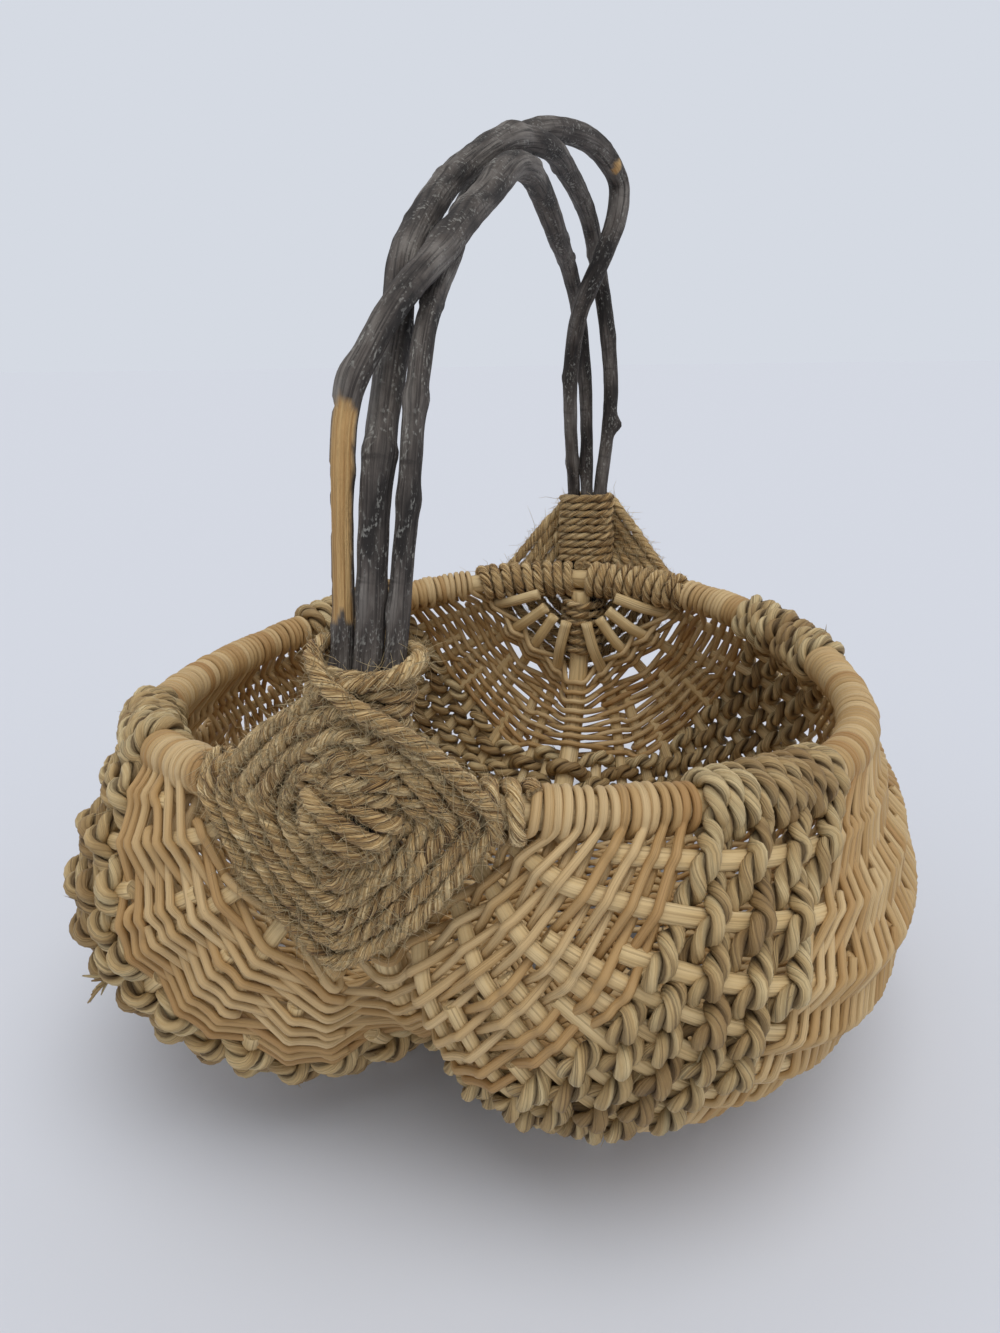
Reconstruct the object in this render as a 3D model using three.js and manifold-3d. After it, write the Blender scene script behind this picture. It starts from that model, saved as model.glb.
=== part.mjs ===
// Two-lobed rib basket: a round rim hoop and a keel lashed together with a three-branch
// handle, ribs sprung between the two lashings, and five woven bands over the ribs.
// Millimetres, +Z up. X runs across the two lobes, Y from the front lashing to the rear one.
import * as THREE from "three";
import { mergeVertices } from "three/addons/utils/BufferGeometryUtils.js";
import Module from "manifold-3d";

const wasm = await Module();
wasm.setup();

// Rim hoop
const RIM_HALF_WIDTH = 109;
const RIM_HALF_LENGTH = 115;
const RIM_DIP = 13; // the hoop runs this much lower at the two sides
const HOOP_RADIUS = 4;
const HOOP_SIDES = 8;

// Lobes, measured on the rib centre lines below the rim
const LOBE_HALF_WIDTH = 125;
const LOBE_WIDEST_DEPTH = 62;
const LOBE_SHOULDER_X = 91;
const LOBE_SHOULDER_DEPTH = 102;
const LOBE_BOTTOM_X = 44;
const LOBE_DEPTH = 117;
const KEEL_DEPTH = 106;
const LOBE_FULLNESS = 0.57; // 1 is an ellipse along Y, less is fuller
const KEEL_FULLNESS = 0.75;
const CHEEK_BULGE = 0.2;
const RIM_BLEND = 1.45; // how soon below the rim the lobes take their full depth

// Ribs and keel
const RIBS_PER_LOBE = 12;
const FIRST_LONG_RIB = 2;
const LONG_RIB_STEP = 3; // every third rib reaches into the lashings
const RIB_RADIUS = 1.9;
const RIB_SIDES = 5;
const RIB_END_REACH = 17; // distance of a long rib's end from the crossing
const RIB_TUCK = 11; // how far the long rib ends lie inside the hoop
const TUCK_INNER = 26;
const TUCK_OUTER = 50;
const TUCK_FADE = 0.1; // share of a lobe over which the tuck dies out towards hoop and keel
const KEEL_RADIUS = 4;

// Woven bands: widths along the ribs, counted from the lashing's edge
const REED_WIDTH_RIM = 30;
const REED_WIDTH_KEEL = 42;
const REED_BELLY = 2; // how much wider the reed band is between rim and keel
const FRONT_LEFT_BELLY = 20; // the same on the left lobe's front
const SEAGRASS_WIDTH_RIM = 48;
const SEAGRASS_WIDTH_KEEL = 40;
const SEAGRASS_BELLY = -5;
const REED_DIAMETER = 2.1;
const SEAGRASS_THICKNESS = 4.8;
const SEAGRASS_RIM_THICKNESS = 4.4;
const REED_STATIONS = 2;
const SEAGRASS_STATIONS = 2;
const MIDDLE_STATIONS = 4;
const BAND_TOP_DROP = 4.7; // where the woven wall leaves the rim, below the hoop's centre
const FOOT_FLAT = 1.2; // the lobes are pressed flat by this much where they stand

// Fits
const CLEARANCE = 0.3;
const BAND_GAP = 1.8;

// Lashings
const CORD_RADIUS = 1.4;
const CORD_SIDES = 5;
const EYE_REACH = 48; // half diagonal of the diamond that a lashing covers
const EYE_ROUNDS = 6.5;
const EYE_STEP_SIDE = 6;
const EYE_STEP_TOP = 4.9;
const EYE_STEP_FOOT = 5.4;
const EYE_START = 0.5; // first round, as a share of one step
const RIM_WRAP_TURNS = 7;
const RIM_WRAP_PITCH = 3.9;
const RIM_WRAP_START = 14;
const RIM_WRAP_STEPS = 8;
const NECK_WRAP_TURNS = 7;
const NECK_WRAP_PITCH = 3.7;
const NECK_WRAP_START = 8.5;
const NECK_WRAP_STEPS = 10;
const NECK_HALF_WIDTH = 8.8;
const NECK_HALF_DEPTH = 3.3;
const NECK_SLACK = 0.25;
const FRONT_NECK_SHIFT = [0.4, 4.2]; // across, at the foot and at the top of the neck
const REAR_NECK_SHIFT = [0, 0.3];
const FRONT_NECK_LEAN = 4.8; // the front branches lean in this far over their neck
const EYE_FOOT_EASE = 42; // drop over which the diamond's foot leans in with the tails

// Handle branches
const BRANCH_SIDES = 7;
const BRANCH_STEPS = 30;
const HANDLE_RISE = 163; // highest branch above the rim
const TAIL_LENGTH = 34;
const TAIL_LEAN = 4.4;
const FRONT_FOOT_SKEW = -5; // the front lashing's foot sits this far to one side

// Derived places
const RIM_HEIGHT = LOBE_DEPTH + RIB_RADIUS + CLEARANCE + REED_DIAMETER - FOOT_FLAT;
const BRANCH_Y = RIM_HALF_LENGTH + HOOP_RADIUS + CLEARANCE + NECK_HALF_DEPTH;
const REAR = -1;
const FRONT = 1;
const SIDES = [["right", 1], ["left", -1]];
const ENDS = [["front", FRONT], ["rear", REAR]];

// Colours
const REED = new THREE.MeshStandardMaterial({ color: 0xc9a36a, roughness: 0.62, metalness: 0 });
const GRASS = new THREE.MeshStandardMaterial({ color: 0xa5976b, roughness: 0.8, metalness: 0 });
const JUTE = new THREE.MeshStandardMaterial({ color: 0xa0804f, roughness: 0.9, metalness: 0 });
const BARK = new THREE.MeshStandardMaterial({ color: 0x5b544d, roughness: 0.85, metalness: 0 });
const RIBWOOD = new THREE.MeshStandardMaterial({ color: 0xc8ad80, roughness: 0.65, metalness: 0 });

const basket = new THREE.Group();
basket.name = "buttocks_basket";

// The middle section, from the right rim over the keel to the left rim
const section = new THREE.CatmullRomCurve3([
  new THREE.Vector3(RIM_HALF_WIDTH, 0, -RIM_DIP),
  new THREE.Vector3(LOBE_HALF_WIDTH, 0, -LOBE_WIDEST_DEPTH),
  new THREE.Vector3(LOBE_SHOULDER_X, 0, -LOBE_SHOULDER_DEPTH),
  new THREE.Vector3(LOBE_BOTTOM_X, 0, -LOBE_DEPTH),
  new THREE.Vector3(0, 0, -KEEL_DEPTH),
  new THREE.Vector3(-LOBE_BOTTOM_X, 0, -LOBE_DEPTH),
  new THREE.Vector3(-LOBE_SHOULDER_X, 0, -LOBE_SHOULDER_DEPTH),
  new THREE.Vector3(-LOBE_HALF_WIDTH, 0, -LOBE_WIDEST_DEPTH),
  new THREE.Vector3(-RIM_HALF_WIDTH, 0, -RIM_DIP),
]);

function smooth(value) {
  const t = Math.min(1, Math.max(0, value));
  return t * t * (3 - 2 * t);
}

// A place on the rib surface: share is 0 at the rim and 1 at the keel, angle runs from
// -90 degrees at the front lashing to +90 at the rear one.
function surfacePoint(side, share, angle) {
  const middle = section.getPointAt(Math.min(share, 1) / 2);
  const full = Math.pow(Math.sin(Math.PI * Math.min(share, 1)), 0.7);
  const upper = share < 0.5;
  const powerX = THREE.MathUtils.lerp(upper ? 1 : KEEL_FULLNESS, LOBE_FULLNESS, full);
  const early = upper ? Math.min(1, RIM_BLEND * full) : full;
  const powerZ = THREE.MathUtils.lerp(upper ? 2 : KEEL_FULLNESS, LOBE_FULLNESS, early);
  const cosine = Math.max(Math.cos(angle), 0);
  const bulge = 1 + CHEEK_BULGE * full * cosine;
  const x = middle.x * Math.pow(cosine, powerX);
  const z = middle.z * Math.pow(cosine, powerZ);
  const near = smooth((TUCK_OUTER - Math.hypot(x, z)) / (TUCK_OUTER - TUCK_INNER));
  const tuck = RIB_TUCK * near * smooth(share / TUCK_FADE) * smooth((1 - share) / TUCK_FADE);
  const y = RIM_HALF_LENGTH * Math.sin(angle) * bulge - Math.sign(angle) * tuck;
  return new THREE.Vector3(side * x, y, RIM_HEIGHT + z);
}

// Arc length along one rib line from the lashing's edge to the middle
const TRACK_SAMPLES = 160;
const tracks = new Map();
function trackOf(share) {
  if (tracks.has(share)) {
    return tracks.get(share);
  }
  const angles = [];
  const lengths = [];
  let last = null;
  let total = 0;
  for (let i = 0; i <= TRACK_SAMPLES; i += 1) {
    const part = 1 - i / TRACK_SAMPLES;
    const angle = (-Math.PI / 2) * (1 - Math.pow(1 - part, 2));
    const point = surfacePoint(1, share, angle);
    const reach = (Math.abs(point.x) + Math.abs(point.z - RIM_HEIGHT)) / EYE_REACH;
    if (reach >= 1) {
      total += last ? point.distanceTo(last) : 0;
      angles.push(angle);
      lengths.push(total);
      last = point;
    }
  }
  const track = { angles, lengths, total };
  tracks.set(share, track);
  return track;
}

// Stations: -1 is the front lashing's edge, 0 the middle, +1 the rear lashing's edge
const EDGE = 1;
const REED_END = 2 / 3;
const GRASS_END = 1 / 3;
function bandWidths(side, share, station) {
  const { lerp, clamp } = THREE.MathUtils;
  const belly = Math.sin(Math.PI * Math.min(share, 1));
  const swell = station < 0 && side < 0 ? FRONT_LEFT_BELLY : REED_BELLY;
  const reed = lerp(REED_WIDTH_RIM, REED_WIDTH_KEEL, share) + swell * belly;
  const grass = lerp(SEAGRASS_WIDTH_RIM, SEAGRASS_WIDTH_KEEL, share) + SEAGRASS_BELLY * belly;
  // close to the hoop the rows leave it squarely
  const square = clamp(2 - 2 * share * (RIBS_PER_LOBE + 1), 0, 1);
  const growth = trackOf(share).total / trackOf(0).total;
  return {
    reed: lerp(reed, REED_WIDTH_RIM * growth, square),
    grass: lerp(grass, SEAGRASS_WIDTH_RIM * growth, square),
  };
}

// Length along a rib line from the lashing's edge to a station
function lengthAt(side, share, station) {
  const { reed, grass } = bandWidths(side, share, station);
  const place = Math.abs(station);
  if (place >= REED_END) {
    return (reed * (EDGE - place)) / (EDGE - REED_END);
  }
  if (place >= GRASS_END) {
    return reed + (grass * (REED_END - place)) / (REED_END - GRASS_END);
  }
  return THREE.MathUtils.lerp(trackOf(share).total, reed + grass, place / GRASS_END);
}

function angleAt(share, station, side = 1) {
  const { angles, lengths } = trackOf(share);
  const goal = lengthAt(side, share, station);
  let i = 1;
  while (i < lengths.length - 1 && lengths[i] < goal) {
    i += 1;
  }
  const span = lengths[i] - lengths[i - 1];
  const part = THREE.MathUtils.clamp((goal - lengths[i - 1]) / span, 0, 1);
  const angle = THREE.MathUtils.lerp(angles[i - 1], angles[i], part);
  return station > 0 ? -angle : angle;
}

function outward(side, share, angle) {
  const step = 0.004;
  const low = Math.max(share - step, 0);
  const high = Math.min(share + step, 1);
  const across = surfacePoint(1, high, angle).sub(surfacePoint(1, low, angle));
  const along = surfacePoint(1, share, angle + step).sub(surfacePoint(1, share, angle - step));
  const normal = across.cross(along);
  if (share >= 1) {
    normal.x = 0;
  }
  normal.normalize();
  normal.x *= side;
  return normal;
}

function wovenPoint(side, share, station, offset) {
  const angle = angleAt(share, station, side);
  const normal = outward(side, share, angle);
  return surfacePoint(side, share, angle).addScaledVector(normal, offset);
}

// Stations shared by the bands, the ribs and the hoop, so that their facets match
function spread(from, to, count) {
  return Array.from({ length: count + 1 }, (_, i) => from + ((to - from) * i) / count);
}
const HALF_STATIONS = [
  ...spread(-EDGE, -REED_END, REED_STATIONS).slice(0, -1),
  ...spread(-REED_END, -GRASS_END, SEAGRASS_STATIONS).slice(0, -1),
  ...spread(-GRASS_END, 0, MIDDLE_STATIONS),
];
const STATIONS = [...HALF_STATIONS, ...HALF_STATIONS.slice(0, -1).reverse().map((s) => -s)];

// Closed bodies from vertex and face lists, with faces turned outwards
function solid(vertices, faces) {
  let volume = 0;
  for (const [a, b, c] of faces) {
    volume += vertices[a].dot(new THREE.Vector3().crossVectors(vertices[b], vertices[c]));
  }
  const geometry = new THREE.BufferGeometry();
  const flat = new Float32Array(vertices.flatMap((p) => [p.x, p.y, p.z]));
  const order = faces.flatMap(([a, b, c]) => (volume < 0 ? [a, c, b] : [a, b, c]));
  geometry.setAttribute("position", new THREE.BufferAttribute(flat, 3));
  geometry.setIndex(order);
  geometry.computeVertexNormals();
  return geometry;
}

function loftFaces(rings, sides, closed) {
  const faces = [];
  const spans = closed ? rings : rings - 1;
  for (let i = 0; i < spans; i += 1) {
    const here = i * sides;
    const next = ((i + 1) % rings) * sides;
    for (let j = 0; j < sides; j += 1) {
      const k = (j + 1) % sides;
      faces.push([here + j, here + k, next + k], [here + j, next + k, next + j]);
    }
  }
  return faces;
}

function tangentsOf(points, closed) {
  return points.map((p, i) => {
    const count = points.length;
    const before = closed ? points[(i + count - 1) % count] : points[Math.max(i - 1, 0)];
    const after = closed ? points[(i + 1) % count] : points[Math.min(i + 1, count - 1)];
    return after.clone().sub(before).normalize();
  });
}

// A round rod along a row of points; the ring frames are carried along without twist
function rod(points, radii, sides, closed = false, up = null, directions = null) {
  const tangents = directions || tangentsOf(points, closed);
  const vertices = [];
  let normal = null;
  points.forEach((point, i) => {
    const tangent = tangents[i];
    if (up || normal === null) {
      const guide = up || (Math.abs(tangent.z) < 0.9 ? new THREE.Vector3(0, 0, 1)
        : new THREE.Vector3(0, 1, 0));
      normal = guide.clone().addScaledVector(tangent, -guide.dot(tangent)).normalize();
    } else {
      normal.addScaledVector(tangent, -normal.dot(tangent)).normalize();
    }
    const across = new THREE.Vector3().crossVectors(tangent, normal);
    const radius = Array.isArray(radii) ? radii[i] : radii;
    for (let j = 0; j < sides; j += 1) {
      const turn = (2 * Math.PI * j) / sides;
      vertices.push(point.clone()
        .addScaledVector(normal, radius * Math.cos(turn))
        .addScaledVector(across, radius * Math.sin(turn)));
    }
  });
  const faces = loftFaces(points.length, sides, closed);
  if (!closed) {
    const last = (points.length - 1) * sides;
    for (let j = 1; j < sides - 1; j += 1) {
      faces.push([0, j + 1, j], [last, last + j, last + j + 1]);
    }
  }
  return solid(vertices, faces);
}

function addMesh(name, geometry, material) {
  const mesh = new THREE.Mesh(geometry, material);
  mesh.name = name;
  basket.add(mesh);
  return mesh;
}

function toManifold(geometry) {
  const bare = new THREE.BufferGeometry();
  bare.setAttribute("position", geometry.getAttribute("position").clone());
  bare.setIndex(geometry.getIndex().clone());
  const merged = mergeVertices(bare, 1e-4);
  return new wasm.Manifold(new wasm.Mesh({
    numProp: 3,
    vertProperties: new Float32Array(merged.getAttribute("position").array),
    triVerts: new Uint32Array(merged.getIndex().array),
  }));
}

function fromManifold(body) {
  const mesh = body.getMesh();
  const geometry = new THREE.BufferGeometry();
  geometry.setAttribute("position", new THREE.BufferAttribute(mesh.vertProperties, 3));
  geometry.setIndex(new THREE.BufferAttribute(mesh.triVerts, 1));
  geometry.computeVertexNormals();
  return geometry;
}

// Rim hoop, one closed ring
const UP = new THREE.Vector3(0, 0, 1);
const EYE_ARC_STEPS = 4;
function hoopRod(side, angles) {
  const points = angles.map((angle) => surfacePoint(side, 0, angle));
  const directions = angles.map((angle) => new THREE.Vector3(
    -side * RIM_HALF_WIDTH * Math.sin(angle),
    RIM_HALF_LENGTH * Math.cos(angle),
    RIM_DIP * Math.sin(2 * angle),
  ).normalize());
  return { points, directions };
}
const hoopEdge = angleAt(0, -EDGE);
const hoopFront = spread(-Math.PI / 2, hoopEdge, EYE_ARC_STEPS).slice(0, -1);
const hoopAngles = [
  ...hoopFront,
  ...STATIONS.map((station) => angleAt(0, station)),
  ...hoopFront.slice().reverse().map((angle) => -angle),
];
const hoopRight = hoopRod(1, hoopAngles);
const hoopLeft = hoopRod(-1, hoopAngles.slice(1, -1));
addMesh("rim_hoop", rod(
  [...hoopRight.points, ...hoopLeft.points.reverse()],
  HOOP_RADIUS,
  HOOP_SIDES,
  true,
  UP,
  [...hoopRight.directions, ...hoopLeft.directions.reverse().map((way) => way.negate())],
), RIBWOOD);

// Keel, its outer side flush with the ribs, its ends standing under the hoop
function keelPoint(angle) {
  const inset = RIB_RADIUS - KEEL_RADIUS;
  return surfacePoint(1, 1, angle).addScaledVector(outward(1, 1, angle), inset);
}
const keelTop = HOOP_RADIUS + CLEARANCE + 0.2;
const keelTopAngle = -Math.acos(Math.pow(keelTop / KEEL_DEPTH, 1 / KEEL_FULLNESS));
const keelEdgeAngle = angleAt(1, -EDGE);
const keelFront = spread(keelTopAngle, keelEdgeAngle, 3).slice(0, -1);
const keelAngles = [
  ...keelFront,
  ...STATIONS.map((station) => angleAt(1, station)),
  ...keelFront.slice().reverse().map((angle) => -angle),
];
addMesh("keel", rod(keelAngles.map(keelPoint), KEEL_RADIUS, HOOP_SIDES), RIBWOOD);

// Ribs: every third one is long and ends inside the lashings, the others start at the seagrass
function longRibEndAngle(share) {
  let low = -Math.PI / 2;
  let high = angleAt(share, -EDGE);
  for (let i = 0; i < 40; i += 1) {
    const middle = (low + high) / 2;
    const point = surfacePoint(1, share, middle);
    if (Math.hypot(point.x, point.z - RIM_HEIGHT) < RIB_END_REACH) {
      low = middle;
    } else {
      high = middle;
    }
  }
  return high;
}
const LONG_END_STEPS = 3;
for (const [sideName, side] of SIDES) {
  for (let i = 1; i <= RIBS_PER_LOBE; i += 1) {
    const share = i / (RIBS_PER_LOBE + 1);
    const isLong = (i - FIRST_LONG_RIB) % LONG_RIB_STEP === 0;
    const stations = STATIONS.filter((s) => isLong || Math.abs(s) <= REED_END + 1e-9);
    const angles = stations.map((station) => angleAt(share, station, side));
    if (isLong) {
      const edge = angleAt(share, -EDGE, side);
      const reach = spread(longRibEndAngle(share), edge, LONG_END_STEPS).slice(0, -1);
      angles.unshift(...reach);
      angles.push(...reach.slice().reverse().map((angle) => -angle));
    }
    const points = angles.map((angle) => surfacePoint(side, share, angle));
    addMesh(`${sideName}_rib_${i}`, rod(points, RIB_RADIUS, RIB_SIDES), RIBWOOD);
  }
}

// Woven bands: a wall over the ribs, turned round the hoop at both rims
function wallPoint(side, share, station, offset) {
  if (share > 0) {
    return wovenPoint(side, share, station, offset);
  }
  const { points, directions } = hoopRod(side, [angleAt(0, station)]);
  const lift = UP.clone().addScaledVector(directions[0], -UP.dot(directions[0])).normalize();
  const out = new THREE.Vector3().crossVectors(directions[0], lift).multiplyScalar(side);
  return points[0].addScaledVector(lift, -BAND_TOP_DROP).addScaledVector(out, offset);
}
function wall(stations, thickness) {
  const inner = RIB_RADIUS + CLEARANCE;
  const spaces = RIBS_PER_LOBE + 1;
  const shares = [0, 0.5, ...spread(1, spaces, RIBS_PER_LOBE)].map((place) => place / spaces);
  const columns = [
    ...shares.map((share) => [1, share]),
    ...shares.slice(0, -1).reverse().map((share) => [-1, share]),
  ];
  const vertices = [];
  for (const station of stations) {
    for (const [side, share] of columns) {
      vertices.push(wallPoint(side, share, station, inner + thickness));
      vertices.push(wallPoint(side, share, station, inner));
    }
  }
  const width = columns.length;
  const at = (row, column, layer) => (row * width + column) * 2 + layer;
  const faces = [];
  const quad = (a, b, c, d) => faces.push([a, b, c], [a, c, d]);
  const rows = stations.length;
  for (let r = 0; r < rows - 1; r += 1) {
    for (let c = 0; c < width - 1; c += 1) {
      quad(at(r, c, 0), at(r, c + 1, 0), at(r + 1, c + 1, 0), at(r + 1, c, 0));
      quad(at(r, c, 1), at(r + 1, c, 1), at(r + 1, c + 1, 1), at(r, c + 1, 1));
    }
    quad(at(r, 0, 0), at(r + 1, 0, 0), at(r + 1, 0, 1), at(r, 0, 1));
    quad(at(r, width - 1, 0), at(r, width - 1, 1), at(r + 1, width - 1, 1), at(r + 1, width - 1, 0));
  }
  for (let c = 0; c < width - 1; c += 1) {
    quad(at(0, c, 0), at(0, c, 1), at(0, c + 1, 1), at(0, c + 1, 0));
    quad(at(rows - 1, c, 0), at(rows - 1, c + 1, 0), at(rows - 1, c + 1, 1), at(rows - 1, c, 1));
  }
  return solid(vertices, faces);
}

function rimTurn(side, stations, thickness) {
  const { points, directions } = hoopRod(side, stations.map((s) => angleAt(0, s)));
  const bore = HOOP_RADIUS + CLEARANCE;
  const body = (line, radius) => toManifold(rod(line, radius, HOOP_SIDES, false, UP, directions));
  const longer = points.map((point) => point.clone());
  longer[0].addScaledVector(directions[0], -1);
  longer[longer.length - 1].addScaledVector(directions[longer.length - 1], 1);
  return body(points, bore + thickness).subtract(body(longer, bore));
}

const FLOOR_BLOCK = 600;
const SLIVER = 0.03; // edges shorter than this are closed up after the joins
const underFloor = wasm.Manifold.cube([FLOOR_BLOCK, FLOOR_BLOCK, FLOOR_BLOCK], true)
  .translate([0, 0, -FLOOR_BLOCK / 2]);

function trimmed(from, to) {
  const length = Math.abs(lengthAt(1, 0, from) - lengthAt(1, 0, to)) || 2 * (trackOf(0).total - lengthAt(1, 0, to));
  const inset = ((BAND_GAP / 2) * (to - from)) / length;
  const stations = STATIONS.filter((s) => s > from - 1e-9 && s < to + 1e-9);
  stations[0] += inset;
  stations[stations.length - 1] -= inset;
  return stations;
}

function addBand(name, from, to, thickness, rimThickness, material) {
  const stations = trimmed(from, to);
  let body = toManifold(wall(stations, thickness));
  for (const [, side] of SIDES) {
    body = body.add(rimTurn(side, stations, rimThickness));
  }
  const clean = body.subtract(underFloor).asOriginal().simplify(SLIVER);
  addMesh(name, fromManifold(clean), material);
}
const GRASS_FIT = [SEAGRASS_THICKNESS, SEAGRASS_RIM_THICKNESS, GRASS];
const REED_FIT = [REED_DIAMETER, REED_DIAMETER, REED];
addBand("front_reed_weave", -EDGE, -REED_END, ...REED_FIT);
addBand("front_seagrass_weave", -REED_END, -GRASS_END, ...GRASS_FIT);
addBand("middle_reed_weave", -GRASS_END, GRASS_END, ...REED_FIT);
addBand("rear_seagrass_weave", GRASS_END, REED_END, ...GRASS_FIT);
addBand("rear_reed_weave", REED_END, EDGE, ...REED_FIT);

// The middle of the three branches in a neck, at a height above the rim
const NECKS = {
  front: { lean: FRONT_NECK_SHIFT, back: [-BRANCH_Y, FRONT_NECK_LEAN - BRANCH_Y] },
  rear: { lean: REAR_NECK_SHIFT, back: [BRANCH_Y, BRANCH_Y] },
};
const NECK_TOP = NECK_WRAP_START + NECK_WRAP_TURNS * NECK_WRAP_PITCH;
function neckCentre(endName, height) {
  const part = (height - NECK_WRAP_START) / (NECK_TOP - NECK_WRAP_START);
  const { lean, back } = NECKS[endName];
  return new THREE.Vector3(
    THREE.MathUtils.lerp(lean[0], lean[1], part),
    THREE.MathUtils.lerp(back[0], back[1], part),
    RIM_HEIGHT + height,
  );
}

// Handle: three branches side by side in both lashings, crossing over the top.
// A route is the branch's free stretch from the front neck to the rear one, heights above
// the rim; seats are its places across the two necks. The routes are drawn on a handle of the
// drawn span and rise, and stretched to the real one.
const DRAWN_SPAN = 122.6;
const DRAWN_RISE = 163;
const BRANCHES = [
  {
    name: "left",
    seats: [-6, 0],
    route: [
      [-1, -110, 85], [2, -103, 97], [4.5, -90, 108], [6, -65, 119.5], [6.5, -36, 132],
      [6.5, -9, 143], [4, 26, 143], [2, 64, 132], [-2, 105, 121], [-2.5, 122, 105], [-0.5, 124, 75],
    ],
    girth: [2.3, 2.4, 2.5, 2.9, 3.6, 4, 3.9, 3.7, 3.2, 2.8, 2.5, 2.4, 2.3],
  },
  {
    name: "centre",
    seats: [0, 5.7],
    route: [
      [5, -110, 72], [2, -93, 92], [0, -82, 102], [-2, -72.5, 114.5], [-3.5, -53, 126.5],
      [-4, -21.5, 140.5], [-0.5, 14.5, 153], [5, 39, 154], [5, 78, 149], [4, 114, 137],
      [6, 122, 116], [9, 124, 80], [8, 123, 56],
    ],
    girth: [3, 3.2, 3.2, 3.5, 3.8, 3.9, 3.9, 3.7, 3.4, 3.1, 2.7, 2.6, 2.5],
  },
  {
    name: "right",
    seats: [6.1, -5.5],
    route: [
      [11, -106, 76], [9, -92, 96], [6, -74, 107], [2, -50, 117], [-5, -20, 129], [-8, 10, 143],
      [-4, 38, 158], [2, 60, 163], [9, 92, 162], [13.5, 112, 152], [13, 110, 140], [8, 104, 124],
      [1.5, 104, 110], [-3.5, 113, 88], [-4.5, 116, 62],
    ],
    girth: [2.1, 2.3, 2.3, 2.5, 2.8, 3.2, 3.6, 4.1, 3.9, 3.2, 2.6, 2.4, 2.2],
  },
];
function branchRoute({ seats, route }) {
  const [front, rear] = seats;
  const above = (point) => new THREE.Vector3(point[0], point[1], RIM_HEIGHT + point[2]);
  const drawn = ([across, along, height]) => above([
    across,
    (along * BRANCH_Y) / DRAWN_SPAN,
    (height * HANDLE_RISE) / DRAWN_RISE,
  ]);
  const neck = (endName, seat, height) => neckCentre(endName, height).setX(
    neckCentre(endName, height).x + seat,
  );
  const skew = (end) => (end < 0 ? FRONT_FOOT_SKEW : 0);
  const tail = (seat, end) => [
    above([seat + skew(end), end * (BRANCH_Y - TAIL_LEAN), -TAIL_LENGTH]),
    above([seat, end * BRANCH_Y, -HOOP_RADIUS]),
  ];
  return [
    ...tail(front, -1),
    neck("front", front, NECK_WRAP_START),
    neck("front", front, NECK_TOP),
    ...route.map(drawn),
    neck("rear", rear, NECK_TOP),
    neck("rear", rear, NECK_WRAP_START),
    ...tail(rear, 1).reverse(),
  ];
}
function lerpList(values, part) {
  const place = part * (values.length - 1);
  const index = Math.min(Math.floor(place), values.length - 2);
  return THREE.MathUtils.lerp(values[index], values[index + 1], place - index);
}
for (const branch of BRANCHES) {
  const { name, girth } = branch;
  const curve = new THREE.CatmullRomCurve3(branchRoute(branch));
  const points = curve.getSpacedPoints(BRANCH_STEPS);
  const radii = points.map((_, i) => lerpList(girth, i / BRANCH_STEPS));
  addMesh(`handle_branch_${name}`, rod(points, radii, BRANCH_SIDES), BARK);
}

// Lashings. A winding's least gap to itself is measured between points of its centre line.
function leastGap(points, apart) {
  let least = Infinity;
  const fine = new THREE.CatmullRomCurve3(points).getPoints(points.length * 4);
  for (let i = 0; i < fine.length; i += 1) {
    for (let j = i + apart * 4; j < fine.length; j += 1) {
      least = Math.min(least, fine[i].distanceTo(fine[j]));
    }
  }
  return least - 2 * CORD_RADIUS;
}
function addWinding(name, points, apart) {
  console.log(`${name}: least gap to itself ${leastGap(points, apart).toFixed(2)} mm`);
  addMesh(name, rod(points, CORD_RADIUS, CORD_SIDES), JUTE);
}

// Turns of cord round one arm of the hoop beside a crossing
function rimWrap(side, end) {
  const radius = HOOP_RADIUS + CLEARANCE + CORD_RADIUS;
  const count = RIM_WRAP_TURNS * RIM_WRAP_STEPS;
  const points = [];
  for (let i = 0; i <= count; i += 1) {
    const x = RIM_WRAP_START + (RIM_WRAP_TURNS * RIM_WRAP_PITCH * i) / count;
    const angle = -Math.acos(x / RIM_HALF_WIDTH);
    const centre = surfacePoint(side, 0, angle);
    const along = surfacePoint(side, 0, angle + 0.01).sub(centre).normalize();
    const lift = UP.clone().addScaledVector(along, -UP.dot(along)).normalize();
    const across = new THREE.Vector3().crossVectors(along, lift);
    const turn = (2 * Math.PI * i) / RIM_WRAP_STEPS;
    centre.addScaledVector(lift, radius * Math.cos(turn));
    centre.addScaledVector(across, radius * Math.sin(turn));
    centre.y *= end;
    points.push(centre);
  }
  return points;
}

function neckWrap(endName) {
  const half = NECK_HALF_WIDTH - NECK_HALF_DEPTH;
  const radius = NECK_HALF_DEPTH + NECK_SLACK + CLEARANCE + CORD_RADIUS;
  const count = NECK_WRAP_TURNS * NECK_WRAP_STEPS;
  const points = [];
  for (let i = 0; i <= count; i += 1) {
    const height = NECK_WRAP_START + ((NECK_TOP - NECK_WRAP_START) * i) / count;
    const turn = (2 * Math.PI * i) / NECK_WRAP_STEPS;
    const centre = neckCentre(endName, height);
    centre.x += Math.sign(Math.round(Math.cos(turn) * 1e6)) * half + radius * Math.cos(turn);
    centre.y += radius * Math.sin(turn);
    points.push(centre);
  }
  return points;
}

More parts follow.
